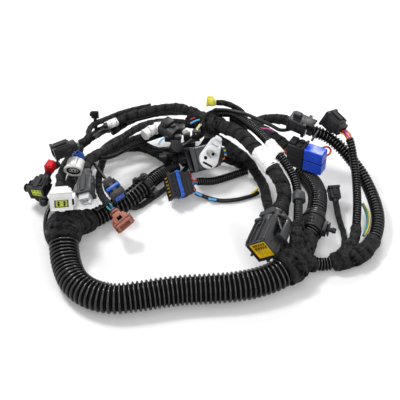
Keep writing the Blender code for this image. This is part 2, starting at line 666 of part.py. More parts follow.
def ecu_details(size):
    """The ribs and collar of the large plug, and its side wing with the slot through it."""
    end, wing, height = size["neck"] + size["length"], size["width"] / 2, size["height"] / 2
    sides = [bar((size["neck"] + 12 * MM, end - 2 * MM), (y - ECU_RIB_HALF, y + ECU_RIB_HALF),
                 sorted((side * (height - 1 * MM), side * (height + ECU_RIB))))
             for y in (-0.3 * size["width"], 0, 0.3 * size["width"]) for side in (-1, 1)]
    collars = [bar((size["neck"] + 2 * MM, size["neck"] + 8 * MM), (-wing * 0.85, wing * 0.85),
                   sorted((side * (height - 1 * MM), side * (height + ECU_COLLAR)))) for side in (-1, 1)]
    start, stop = size["neck"] + ECU_WING["start"], size["neck"] + ECU_WING["end"]
    bracket = bar((start, stop), (wing - 1 * MM, wing + ECU_WING["reach"]),
                  (ECU_WING["low"], ECU_WING["high"]), 1.2 * MM)
    slot = bar((start + 4 * MM, stop - 4 * MM), (wing + 1.4 * MM, wing + ECU_WING["reach"] - ECU_WING["bar"]),
               (ECU_WING["low"] - 3 * MM, ECU_WING["high"] + 3 * MM))
    return [*sides, *collars, bracket], [slot]


def build_ecu_plug(laid):
    """The large multi-way plug: ribbed housing, yellow cup-shaped holder with its blades, rubber boot."""
    mount = set_down("ecu_plug", frame_at_end(laid, "braided_bundle", 38))
    rings = [post(ECU["neck_radius"] * factor, (place * ECU_BOOT_LENGTH, 0, 0),
                  ((place + 0.14) * ECU_BOOT_LENGTH, 0, 0))
             for place, factor in ((0.12, 0.98), (0.38, 1.04), (0.64, 1.1))]
    taper = post(ECU["neck_radius"] * 0.82, (0, 0, 0), (ECU_BOOT_LENGTH, 0, 0), end_radius=ECU["neck_radius"])
    seat(solid("ecu_boot", taper, rings, material=finish("boot_rubber", (0.02, 0.02, 0.021), 0.6)), mount)
    start = (ECU_BOOT_LENGTH + CLEARANCE, 0, 0)
    base, adds, cuts = plug_parts(ECU, latch=False, grip=False, rim=False)
    more_adds, more_cuts = ecu_details(ECU)
    housing = solid("ecu_plug_housing", base, adds + more_adds, cuts + more_cuts, moulded_black())
    seat(housing, mount, start)
    cup, _ = insert_mesh(ECU, 0, 0, 0)
    front = ECU["neck"] + ECU["length"] - ECU["insert_inset"]
    floor = front - ECU_CUP[1]
    inner = [half - ECU["wall"] - CLEARANCE - ECU_CUP[0] for half in (ECU["width"] / 2, ECU["height"] / 2)]
    hollow = bar((floor, front + 2 * MM), (-inner[0], inner[0]), (-inner[1], inner[1]))
    steps = [(index - 1.5) * ECU_PIN_STEP for index in range(4)]
    blades = [bar((floor - 1 * MM, floor + ECU_PIN[0]), (y - ECU_PIN[1] / 2, y + ECU_PIN[1] / 2),
                  (z - ECU_PIN[2] / 2, z + ECU_PIN[2] / 2)) for y in steps for z in steps]
    insert = cut_then_join("ecu_plug_insert", cup, [hollow], blades, finish("holder_yellow", (0.85, 0.55, 0.02), 0.45))
    seat(insert, mount, start)


def lever_outline():
    """A pear: a wide eye round the boss, narrowing to the handle."""
    points = []
    for i in range(15):
        angle = math.radians(70 + 220 * i / 14)
        points.append((LEVER_EYE * math.cos(angle), LEVER_EYE * math.sin(angle)))
    for i in range(7):
        angle = math.radians(-75 + 150 * i / 6)
        points.append((LEVER_REACH - LEVER_TAB + LEVER_TAB * math.cos(angle), LEVER_TAB * math.sin(angle)))
    return points


def build_lever_plug(laid):
    mount = set_down("lever_plug", frame_at_end(laid, "under_branch", -48))
    length, width, height = LEVER_BODY
    end = LEVER_NECK + length
    base = bar((LEVER_NECK, end), (-width / 2, width / 2), (-height / 2, height / 2), 1.6 * MM)
    pivot_x, pivot_y = LEVER_NECK + LEVER_PIVOT[0], LEVER_PIVOT[1]
    seat_height = height / 2 + CLEARANCE
    top = seat_height + LEVER_CHEEK
    adds = [post(6.4 * MM, (0, 0, 0), (LEVER_NECK + 6 * MM, 0, 0)),
            post(LEVER_BOSS, (pivot_x, pivot_y, 0), (pivot_x, pivot_y, top + 0.8 * MM)),
            bar((end - 4 * MM, end), (-width / 2 - RIM, width / 2 + RIM), (-height / 2 - RIM, height / 2), 0.8 * MM)]
    inner = (width / 2 - LEVER_WALL, height / 2 - LEVER_WALL)
    cuts = [bar((end - LEVER_MOUTH, end + 5 * MM), (-inner[0], inner[0]), (-inner[1], inner[1]), 1 * MM),
            post(LEVER_BOSS * 0.5, (pivot_x, pivot_y, top - 1.4 * MM), (pivot_x, pivot_y, top + 3 * MM))]
    seat(solid("lever_plug_housing", base, adds, cuts, moulded_black()), mount)
    cheek = slab(lever_outline(), 0, LEVER_CHEEK)
    grip = bar((LEVER_REACH - 4 * MM, LEVER_REACH - 0.6 * MM), (-LEVER_TAB * 0.6, LEVER_TAB * 0.6),
               (LEVER_CHEEK - 0.6 * MM, LEVER_CHEEK + 3.4 * MM), 0.6 * MM)
    radius, place = LEVER_HOLE
    cuts = [post(LEVER_BOSS + CLEARANCE, (0, 0, -1 * MM), (0, 0, LEVER_CHEEK + 2 * MM)),
            post(radius, (place, 0, LEVER_CHEEK - 1.2 * MM), (place, 0, LEVER_CHEEK + 2 * MM), 12)]
    lever = solid("lever_plug_lever", cheek, [grip], cuts, finish("lever_grey", (0.62, 0.63, 0.64), 0.38))
    seat(lever, mount, (pivot_x, pivot_y, seat_height))
    lever.rotation_euler = (0, 0, math.radians(LEVER_REST))


def build_wide_plug(laid):
    """The flat multi-way plug with a blue lock bar that pushes into its top."""
    mount = set_down("wide_plug", frame_at_end(laid, "centre_cable", -35))
    blue = finish("lock_blue", (0.03, 0.12, 0.62), 0.4)
    size = WIDE
    base, adds, cuts = plug_parts(size, latch=False)
    x = size["neck"] + size["length"] * WIDE_LOCK_PLACE
    top = size["height"] / 2
    half_length, half_width = WIDE_LOCK[0] / 2, WIDE_LOCK[1] / 2
    cuts.append(bar((x - half_length - CLEARANCE, x + half_length + CLEARANCE),
                    (-half_width - CLEARANCE, half_width + CLEARANCE), (top - WIDE_LOCK[2], top + 3 * MM)))
    for index in range(5):
        y = size["width"] * (-0.4 + 0.2 * index)
        adds.append(bar((x + 5 * MM, size["neck"] + size["length"] - 1 * MM), (y - RIB_HALF, y + RIB_HALF),
                        (top - 1 * MM, top + RIM)))
    seat(solid("wide_plug_housing", base, adds, cuts, moulded_black()), mount)
    bottom = top - WIDE_LOCK[2] + CLEARANCE
    lock = solid("wide_plug_lock", bar((-half_length, half_length), (-half_width, half_width),
                                       (0, WIDE_LOCK[2] + 0.8 * MM), 0.4 * MM),
                 [bar((-half_length, half_length), (y - 1.5 * MM, y + 1.5 * MM), (1 * MM, WIDE_LOCK[2] + 1.8 * MM))
                  for y in (-8 * MM, 8 * MM)], material=blue)
    seat(lock, mount, (x, 0, bottom))


def build_plug(laid, name, size, bundle, roll, colour, insert=None, **options):
    """An ordinary plug at the end of its bundle, with the holder in its mouth if it has one."""
    mount = set_down(name, frame_at_end(laid, bundle, roll))
    base, adds, cuts = plug_parts(size, **options)
    housing = solid(name + ("_housing" if insert else ""), base, adds, cuts, colour)
    seat(housing, mount)
    if insert:
        base, cuts = insert_mesh(size, insert["columns"], insert["rows"], insert["hole"])
        holder = solid(name + "_" + insert["name"], base, insert.get("adds", ()), cuts, insert["colour"])
        seat(holder, mount)
    return mount


def build_small_plugs(laid):
    black = moulded_black()
    green = finish("holder_green", (0.62, 0.72, 0.12), 0.45)
    build_plug(laid, "white_plug", WHITE, "white_plug_branch", 0, finish("housing_white", (0.82, 0.82, 0.8), 0.4),
               {"name": "insert", "columns": 2, "rows": 2, "hole": 1.5 * MM, "colour": green})
    build_plug(laid, "black_plug", BLACK, "black_plug_branch", 10, black,
               {"name": "insert", "columns": 3, "rows": 2, "hole": 1.3 * MM, "colour": green}, ribs=3)
    build_plug(laid, "grey_plug", GREY, "second_arc", 20, finish("housing_grey", (0.06, 0.062, 0.066), 0.4),
               {"name": "lock", "columns": 2, "rows": 1, "hole": 1.6 * MM,
                "colour": finish("lock_clear", (0.75, 0.77, 0.78), 0.3)}, ribs=3)
    build_plug(laid, "band_plug", BAND, "band_plug_lead", 20, black,
               {"name": "lock", "columns": 2, "rows": 1, "hole": 1.2 * MM,
                "colour": finish("lock_blue", (0.03, 0.12, 0.62), 0.4)})
    build_plug(laid, "flat_plug", FLAT, "third_arc", 15, black, ribs=4)
    build_plug(laid, "sensor_plug", SENSOR, "inner_conduit", 20, black, ribs=4)
    build_plug(laid, "clip_plug", SMALL, "clip_branch", 0, black, ribs=3)
    build_plug(laid, "yellow_plug", YELLOW, "yellow_plug_sleeve", 30, finish("plug_yellow", (0.75, 0.72, 0.1), 0.4))


def build_oval_plug(laid):
    """A blue two-way plug in its white oval shell."""
    mount = set_down("oval_plug", frame_at_end(laid, "oval_plug_branch", 0))
    size = OVAL
    blue = finish("plug_blue", (0.02, 0.11, 0.6), 0.4)
    white = finish("housing_white", (0.82, 0.82, 0.8), 0.4)
    body = solid("oval_plug_body", bar((0, size["length"]), (-size["width"] / 2, size["width"] / 2),
                                       (-size["height"] / 2, size["height"] / 2), 1.2 * MM),
                 [bar((1 * MM, size["length"] - 1 * MM), (-2 * MM, 2 * MM), (0, size["height"] / 2 + 2 * MM), 0.4 * MM)],
                 material=blue)
    seat(body, mount)
    start = size["length"] + CLEARANCE
    end = start + size["shell"]
    inner_width, inner_height = size["shell_width"] - 2 * size["wall"], size["shell_height"] - 2 * size["wall"]
    shell = solid("oval_plug_shell", slab(oval(size["shell_width"], size["shell_height"], 28), start, end, "X"),
                  [slab(oval(size["shell_width"] + 2.4 * MM, size["shell_height"] + 2.4 * MM, 28), end - 3 * MM, end, "X"),
                   bar((start + 2 * MM, end - 1 * MM), (-3 * MM, 3 * MM), (0, size["shell_height"] / 2 + 2.4 * MM))],
                  [slab(oval(inner_width, inner_height, 28), end - size["mouth"], end + 3 * MM, "X")], white)
    seat(shell, mount)


def build_injector_plug(laid):
    """The terracotta injector plug: stepped neck, square window, spring-clip flange at its mouth."""
    mount = set_down("injector_plug", frame_at_end(laid, "injector_branch", 25))
    neck, half_width, half_height = INJECTOR["neck"], INJECTOR["width"] / 2, INJECTOR["height"] / 2
    base, adds, cuts = plug_parts(INJECTOR, latch=False)
    end = neck + INJECTOR["length"]
    adds += [post(INJECTOR["neck_radius"] + 1 * MM, (2 * MM, 0, 0), (4.4 * MM, 0, 0)),
             bar((end - 5 * MM, end - 3.4 * MM), (-half_width - INJECTOR_FLANGE, half_width + INJECTOR_FLANGE),
                 (-half_height - RIM, half_height + RIM), 0.5 * MM),
             bar((neck - 4 * MM, neck + 1 * MM), (-5 * MM, 5 * MM), (-4 * MM, 6 * MM), 0.7 * MM)]
    cuts.append(bar((neck + 2.6 * MM, neck + 7 * MM), (-2.8 * MM, 2.8 * MM),
                    (half_height - 3 * MM, half_height + 4 * MM)))
    seat(solid("injector_plug", base, adds, cuts, finish("plug_terracotta", (0.42, 0.14, 0.08), 0.5)), mount)


def build_relay_bank(laid):
    """The twin relay socket on the end of its bundle, with two blue relays plugged in."""
    frame = heading_frame(laid["socket_bundle"]["path"][-1], (0.87, -0.5, 0.0), 0)
    mount = set_down("relay_bank", frame @ Matrix.Translation((END_CLEARANCE, 0, 0)))
    length, depth, height = SOCKET
    end = SOCKET_NECK + length
    base = bar((SOCKET_NECK, end), (-depth / 2, depth / 2), (-height / 2, height / 2), 1.2 * MM)
    slots = [bar((end - RELAY_FOOT, end + 7 * MM), (-RELAY[1] / 2 + 2 * MM, RELAY[1] / 2 - 2 * MM),
                 ((row - 0.5) * RELAY_STEP - 4 * MM, (row - 0.5) * RELAY_STEP + 4 * MM)) for row in (0, 1)]
    seat(solid("relay_socket", base, [post(6.2 * MM, (0, 0, 0), (8 * MM, 0, 0))], slots, moulded_black()), mount)
    front = end + CLEARANCE
    for row, name in ((0, "relay_lower"), (1, "relay_upper")):
        case = bar((front, front + RELAY[0]), (-RELAY[1] / 2, RELAY[1] / 2), (-RELAY[2] / 2, RELAY[2] / 2), 0.8 * MM)
        foot = bar((front - RELAY_FOOT + 0.6 * MM, front + 1 * MM), (-4.5 * MM, 4.5 * MM), (-3 * MM, 3 * MM))
        seat(solid(name, case, [foot], material=finish("relay_blue", (0.02, 0.09, 0.66), 0.35)), mount,
             (0, 0, (row - 0.5) * RELAY_STEP))


def build_seated_pieces(laid):
    """What sits on a conduit and not on a bundle's end: clips, the clamp, the red cap, the tape."""
    black = moulded_black()
    frame = frame_on(laid, "diagonal_conduit", 0.93, 0)
    clip = solid("conduit_clip", post(DIAGONAL_RADIUS + 2.2 * MM, (-4.5 * MM, 0, 0), (4.5 * MM, 0, 0), 20),
                 [bar((-4 * MM, 4 * MM), (-DIAGONAL_RADIUS - 8 * MM, -DIAGONAL_RADIUS), (-2 * MM, 2 * MM), 0.6 * MM),
                  post(3.4 * MM, (0, 0, DIAGONAL_RADIUS), (0, 0, DIAGONAL_RADIUS + 6 * MM), 14),
                  post(4.6 * MM, (0, 0, DIAGONAL_RADIUS + 4.6 * MM), (0, 0, DIAGONAL_RADIUS + 6 * MM), 14)],
                 [moved(bore_near(laid, "diagonal_conduit", frame.translation, 12 * MM), frame)], black)
    seat(clip, set_down("conduit_clip", frame))
    frame = frame_on(laid, "right_conduit", 0.13, 0)
    outer = RIGHT_RADIUS + 1.8 * MM
    clamp = solid("conduit_clamp", post(outer, (-9.7 * MM, 0, 0), (9.7 * MM, 0, 0), 18),
                  [post(outer + 1 * MM, (-10 * MM, 0, 0), (-8 * MM, 0, 0), 18),
                   post(outer + 1 * MM, (8 * MM, 0, 0), (10 * MM, 0, 0), 18),
                   bar((-7 * MM, 7 * MM), (-outer - 4 * MM, -outer + 2 * MM), (-3.4 * MM, 3.4 * MM), 0.8 * MM),
                   post(2.6 * MM, (0, -outer - 12 * MM, 0), (0, -outer, 0), 12),
                   post(6.2 * MM, (0, -outer - 6.4 * MM, 0), (0, -outer - 5 * MM, 0), 18)],
                  [moved(bore_near(laid, "right_conduit", frame.translation, 16 * MM), frame)], black)
    seat(clamp, set_down("conduit_clamp", frame))
    frame = frame_on(laid, "black_plug_branch", 0.55, 0)
    size = RED
    base = bar((-size["length"] / 2, size["length"] / 2), (-size["width"] / 2, size["width"] / 2),
               (1 * MM, PLUG_BRANCH_RADIUS + size["height"]), 1.2 * MM)
    cap = solid("red_cap", base, [], [moved(bore_near(laid, "black_plug_branch", frame.translation, 20 * MM), frame)],
                finish("cap_red", (0.62, 0.01, 0.015), 0.4))
    seat(cap, set_down("red_cap", frame))


def frame_on(laid, bundle, share, roll):
    """A frame on a bundle's centreline, at a share of the stretch that shows."""
    path = laid[bundle]["shown"]
    along = distances(path)
    place = share * along[-1]
    before, after = part_of(path, 0, place)[-1], part_of(path, place, along[-1])
    heading = after[min(2, len(after) - 1)] - before
    return heading_frame(before, heading, roll)


def moved(mesh, frame):
    """A world-space mesh taken into a frame's own space."""
    mesh.transform(frame.inverted())
    return mesh


def build_tape_wrap(laid):
    """White tape round the two bundles that run side by side."""
    white = finish("tape_white", (0.8, 0.8, 0.79), 0.6)
    wraps, bores = [], []
    for bundle, first, last in WHITE_TAPE:
        path = laid[bundle]["path"]
        helper = curve_tube("wrap", resample(part_of(path, first, last), 5), laid[bundle]["radius"] + 1.7 * MM,
                            white, 10)
        wraps.append(mesh_of(helper))
        bpy.data.objects.remove(helper, do_unlink=True)
        bores.append(bore_near(laid, bundle, at_places(path, [(first + last) / 2])[0], 30 * MM))
    solid("white_tape", wraps[0], wraps[1:], bores, white)


def build_second_plug(laid):
    """The plug that lies on the back bundle, with the raised block on its top."""
    frame = frame_on(laid, "top_bundle", 0.86, 0)
    base, adds, cuts = plug_parts(SECOND, latch=False)
    long, wide, tall = SECOND_BLOCK
    adds.append(bar((4 * MM, 4 * MM + long), (-wide / 2, wide / 2), (0, SECOND["height"] / 2 + tall), 1 * MM))
    for mesh in (base, *adds, *cuts):
        mesh.transform(Matrix.Translation((-SECOND["length"] / 2, -SECOND_ASIDE, SECOND_LIFT)))
    cuts.append(moved(bore_near(laid, "top_bundle", frame.translation, 30 * MM), frame))
    seat(solid("second_plug", base, adds, cuts, moulded_black()), set_down("second_plug", frame))


def build_oval_socket(laid):
    """The open oval plug in the middle, whose neck sits against the side of the second arc."""
    path = laid["second_arc"]["shown"]
    size = SHROUD
    frame = heading_frame(nearest(resample(path, 200), np.array(OVAL_SOCKET_PLACE)), OVAL_SOCKET_HEADING, 0)
    start = SECOND_ARC_RADIUS + 5 * MM
    inner = (size["width"] - 2 * size["wall"], size["height"] - 2 * size["wall"])
    end = start + size["length"]
    shell = slab(oval(size["width"], size["height"], 24), start, end, "X")
    cuts = [slab(oval(*inner, 24), end - size["mouth"], end + 3 * MM, "X"),
            moved(bore_near(laid, "second_arc", frame.translation, 32 * MM), frame)]
    shroud = solid("oval_socket", shell, [post(5 * MM, (1 * MM, 0, 0), (start + 2 * MM, 0, 0))], cuts,
                   moulded_black())
    seat(shroud, set_down("oval_socket", frame))


def main():
    clear_scene()
    laid = lay_all()
    build_bundles(laid)
    build_ecu_plug(laid)
    build_lever_plug(laid)
    build_wide_plug(laid)
    build_small_plugs(laid)
    build_oval_plug(laid)
    build_injector_plug(laid)
    build_relay_bank(laid)
    build_seated_pieces(laid)
    build_tape_wrap(laid)
    build_second_plug(laid)
    build_oval_socket(laid)


main()
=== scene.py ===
import math
import bpy
import bmesh
import numpy as np
from mathutils import Matrix, Vector, noise
from mathutils.bvhtree import BVHTree
import json
import random

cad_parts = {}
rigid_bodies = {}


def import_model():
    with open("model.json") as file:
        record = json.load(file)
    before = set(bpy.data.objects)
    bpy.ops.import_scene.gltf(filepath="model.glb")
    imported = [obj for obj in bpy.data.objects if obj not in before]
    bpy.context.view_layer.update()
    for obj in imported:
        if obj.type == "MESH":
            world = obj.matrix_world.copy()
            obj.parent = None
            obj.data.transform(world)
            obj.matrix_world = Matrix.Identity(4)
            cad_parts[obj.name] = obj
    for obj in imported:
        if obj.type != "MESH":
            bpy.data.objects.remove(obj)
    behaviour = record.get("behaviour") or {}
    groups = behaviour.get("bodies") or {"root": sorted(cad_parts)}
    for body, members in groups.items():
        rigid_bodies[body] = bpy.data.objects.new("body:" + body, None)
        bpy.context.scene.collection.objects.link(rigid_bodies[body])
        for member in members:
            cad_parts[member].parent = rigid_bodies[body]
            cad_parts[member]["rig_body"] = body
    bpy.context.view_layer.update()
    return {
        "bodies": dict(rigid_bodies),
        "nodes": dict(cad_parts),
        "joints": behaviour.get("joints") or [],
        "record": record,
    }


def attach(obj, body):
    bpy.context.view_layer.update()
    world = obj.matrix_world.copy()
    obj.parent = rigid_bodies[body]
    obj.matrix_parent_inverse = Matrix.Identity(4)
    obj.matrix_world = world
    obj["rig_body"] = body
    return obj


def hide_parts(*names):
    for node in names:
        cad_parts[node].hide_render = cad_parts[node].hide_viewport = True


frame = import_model()
print("frame loaded:", len(frame["nodes"]), "nodes")
mm = 0.001

bundles = {
    "main_conduit": [(-148.2, -61.9, 24.5), (-146.5, -73.3, 20.8), (-143.9, -84.8, 18.4), (-140, -96.2, 16.8),
        (-135.1,
        -107.2, 16.3), (-127.9, -116.9, 16.1), (-118.6, -124.7, 16.2), (-107.9, -130.2, 16.2), (-96.2,
        -133.3, 16.2), (-84.2, -133.5, 16.2), (-72.2, -131.7, 16.2), (-60.3, -129.5, 16.2), (-48.5, -126.9,
        16.2), (-36.6, -124.6, 16.2), (-24.6, -122.8, 16.2), (-12.6, -121.6, 16.2), (-0.5, -120.8, 16.2),
        (11.5, -119.8, 16.2), (23.6, -118.7, 16.2), (35.5, -116.7, 16.2), (47.3, -113.8, 16), (58.7, -110,
        16.3), (69.9, -105.3, 17.1), (80.2, -99.1, 18.2)],
    "diagonal_conduit": [(-124.8, -13.5, 11.5), (-116.8, -6.8, 10.7), (-108.5, -0.4, 11.2), (-100, 5.9, 11.1),
        (-91.8, 12.4,
        11.2), (-84.4, 19.9, 11.9), (-77.6, 27.9, 12.8), (-71.1, 36.1, 13.1), (-64.7, 44.5, 13)],
    "fine_conduit": [(-64.3, 45.1, 13), (-54.4, 57.9, 12.7), (-44.1, 70.1, 10.1), (-32.7, 81.5, 9)],
    "lower_arc": [(-154.9, -3.6, 14.9), (-157.1, 11.4, 10.1), (-157.7, 26.9, 7.2), (-156.9, 42.8, 6.8), (-154, 58.4,
        6.8), (-149.1, 73.4, 6.8), (-141.9, 87.5, 6.8), (-132.4, 100.3, 6.8), (-120.3, 110.4, 6.8), (-105.9,
        117, 6.8), (-90.5, 120.6, 6.8), (-74.7, 120, 6.8), (-60.9, 112.4, 6.7), (-49.1, 101.8, 7.2), (-40,
        88.8, 8.3)],
    "under_branch": [(86.6, -57.4, 10.2), (82.9, -43.7, 7.6), (79, -29.8, 6.6), (75.6, -15.7, 6.3), (73.4, -1.5, 6.1),
        (72.1, 13, 6.2), (70.8, 27.4, 6.2), (69.7, 41.8, 6), (66.6, 55.9, 6.3), (61.4, 69.3, 7.9), (53.7,
        79.1, 14.9), (43.4, 83.5, 23.9), (31.4, 81.3, 31.3), (18.3, 75.5, 33)],
    "right_conduit": [(109.8, -50.1, 22), (115.3, -35.5, 22.7), (120.1, -20.5, 23.2), (123.9, -5.3, 22.8),
        (126.1, 10.2,
        21.4), (126.2, 25.7, 18.8), (124.1, 40.9, 15.6), (119.4, 55.6, 12.7), (112.3, 69.5, 11.2)],
    "short_conduit": [(116.1, -79.5, 10.1), (124.5, -78.3, 8), (133, -76.6, 7.9)],
    "clip_branch": [(149.5, -51.8, 4.5), (152.1, -38.8, 3.5), (152.3, -25.6, 3.7), (150.5, -12.4, 4.7), (148.6, 0.3,
        7.9), (147.3, 12.5, 13)],
    "outer_conduit": [(174.7, -56.8, 11.4), (182.8, -43.8, 12.5), (187.8, -29.5, 14.2), (190.3, -14.4, 16),
        (189.9, 0.7,
        18.2), (187.5, 15.6, 20.9), (183.6, 30, 24.5), (178.2, 43.6, 29), (170.8, 56, 34.3), (162.2, 67.4,
        39.9), (152, 77, 45.9), (139.8, 84.4, 51.4), (126.3, 91.5, 53)],
    "inner_conduit": [(160.1, -48.5, 14.5), (163.4, -37.4, 16.5), (165.1, -26, 18.7), (166.7, -14.6, 21.3),
        (168, -3.3,
        24.2), (168.9, 7.9, 27.5), (169.3, 19.1, 31.2), (169.2, 29.8, 36), (168.6, 40, 41.8), (167.7, 49.7,
        48.5), (166.2, 59.1, 55.4), (163.2, 68.9, 61.2), (156.3, 77.5, 65)],
    "top_bundle": [(24.5, 118.3, 40.3), (33.6, 114.4, 41.1), (42.8, 112, 44.3), (52.2, 111.9, 47.5), (61.7, 113.5,
        50.1), (71.4, 114.5, 52.3), (81.2, 113.6, 54), (90.6, 110.6, 55.3), (99.3, 105.8, 55.9), (108.1,
        101, 55.7), (116.9, 96.4, 54.5), (125.7, 91.8, 53.1)],
    "braided_bundle": [(19.2, 101.7, 52.3), (27.6, 93.8, 55.2), (35.7, 85.4, 57.6), (42.7, 76, 59),
        (48.7, 65.8, 59.7),
        (54.5, 55.4, 60.1), (60, 44.9, 60.3), (65.4, 34.3, 60), (70.8, 23.7, 59.4), (76.5, 13.5, 57.4),
        (82.4, 4.2, 53), (86.1, -5.2, 46.8), (85.3, -15.4, 41), (81.3, -26.5, 40)],
    "second_bundle": [(19.7, 119.2, 58.4), (31, 111.9, 63.3), (40.3, 101.4, 65.8), (48.5, 89.6, 67.1),
        (56.4, 77.6, 68.1),
        (63.9, 65.4, 68.5), (70.7, 52.7, 68.7), (77.5, 40.1, 67.8), (85.1, 28.3, 64.6), (92.1, 16.8, 59.7),
        (97.9, 5.3, 53.3), (100.3, -7.9, 48.4), (100.3, -21.9, 45.1), (99.2, -36.2, 43.9), (97.8, -50.3,
        41.9)],
    "outer_arc": [(-158.2, -3.6, 31.4), (-161.1, 7.7, 29.5), (-162.4, 18.8, 25.9), (-162.7, 29.9, 22.2), (-162.8,
        41.5, 20.5), (-162.7, 53.3, 20.5), (-161, 64.8, 21.3), (-157.5, 76, 22.9), (-152.2, 86.2, 25.2),
        (-145, 94.8, 28.6), (-136.5, 102.1, 32.3), (-127.3, 108.5, 35.6), (-117.3, 114, 38.6), (-107.3,
        119.4, 41.6), (-97.2, 124.5, 44.6), (-86.6, 129.3, 46.6), (-75.7, 133.5, 47.5), (-64.5, 137, 48.5),
        (-53.1, 139.8, 49.5), (-41.4, 140.4, 50.3), (-29.9, 138.5, 51), (-19, 134.1, 50.6)],
    "second_arc": [(-23.7, 124.5, 40), (-36, 124.7, 40.8), (-48, 122.7, 42.9), (-59.1, 117.6, 45.2), (-69, 110.5,
        47.4), (-78.5, 102.5, 48.3), (-87.2, 93.7, 48.1), (-95.3, 84.3, 48), (-102.6, 74.3, 47.9), (-110,
        64.4, 48.8), (-117.2, 54.4, 50.4), (-123.9, 44.1, 52), (-128.6, 32.7, 52), (-128.7, 20.5, 50)],
    "third_arc": [(-63.4, 146.4, 48.8), (-72.9, 143.8, 48.2), (-82.2, 140.8, 47.7), (-91.5, 137.4, 47.2), (-100.3,
        133.1, 46.9), (-108.7, 127.9, 46.6), (-116.4, 121.8, 47), (-123.1, 114.8, 48.7), (-128.5, 106.9,
        50.9), (-131.7, 97.9, 53), (-132.7, 88.2, 54.5), (-133, 78.5, 55), (-138.1, 70.1, 55), (-146.7,
        65.5, 54)],
    "white_plug_branch": [(-162.9, 34.5, 28.8), (-162.7, 30.8, 35.5), (-161.8, 25.6, 41.1), (-160.2, 19.4, 45.2),
        (-158.1,
        12.3, 46.4), (-155.8, 5, 46), (-153.8, -2.4, 46.8), (-152.4, -9.6, 48.8), (-151.7, -16.5, 52)],
    "black_plug_branch": [(-167.4, 62.8, 27.8), (-172.3, 55.3, 29), (-176, 47.1, 28.8), (-178.7, 38.5, 28)],
    "oval_plug_branch": [(-144.4, 89.2, 31.7), (-143, 83.6, 34.8), (-142.8, 77.1, 36.2), (-143.7, 70.5, 36)],
    "injector_branch": [(-111.5, 65, 41.3), (-115.4, 57.7, 36.4), (-117.4, 49, 32.6), (-118.6, 39.9, 29.5),
        (-118.6, 30.4,
        27.9), (-117.3, 20.8, 28.5), (-115.3, 11.6, 30.6), (-112.9, 2.9, 34), (-109.5, -6, 35.9), (-104.7,
        -14.3, 35.5), (-98.7, -21.5, 33)],
    "band_plug_lead": [(-122.5, 39.1, 47.7), (-119.1, 34.3, 45.2), (-115.2, 29.5, 43.2), (-111.5, 24.5, 41.6),
        (-107.7,
        19.5, 40)],
    "centre_cable": [(51.1, 76.4, 6), (45.3, 75, 5), (39.9, 72.3, 5), (34.4, 69.6, 5), (29.1, 66.6, 5.2), (23.9, 63.5,
        5.8), (18.9, 60.3, 6.6), (14, 56.9, 7.8), (9.1, 53.6, 9.4), (4.2, 50.7, 11.4), (-0.7, 48, 13.9),
        (-5.8, 45.5, 16), (-11.2, 43, 17.1), (-16.7, 40.5, 18)],
    "thin_loop": [(62.4, 41.7, 3.1), (56.4, 37, 2.5), (49.5, 33.6, 2.8), (42.3, 30.8, 2.8), (34.9, 28.8, 2.8), (27.3,
        27.7, 2.8), (19.6, 27.5, 2.8), (12, 29, 3), (4.7, 31.1, 3.8), (-2.6, 32.9, 5.6), (-9.7, 34.5, 8)],
    "socket_bundle": [(61.6, 105.2, 49.1), (68.4, 95.1, 48.5), (75.8, 85.8, 46.5), (84, 77.7, 43.1),
        (94.3, 71.5, 42)],
    "yellow_plug_sleeve": [(48.7, 114.3, 53), (43.5, 117.8, 61.5), (34.7, 119.6, 67.2), (24.9, 122.4, 69.8),
        (14.3, 123.5,
        70.3)],
}
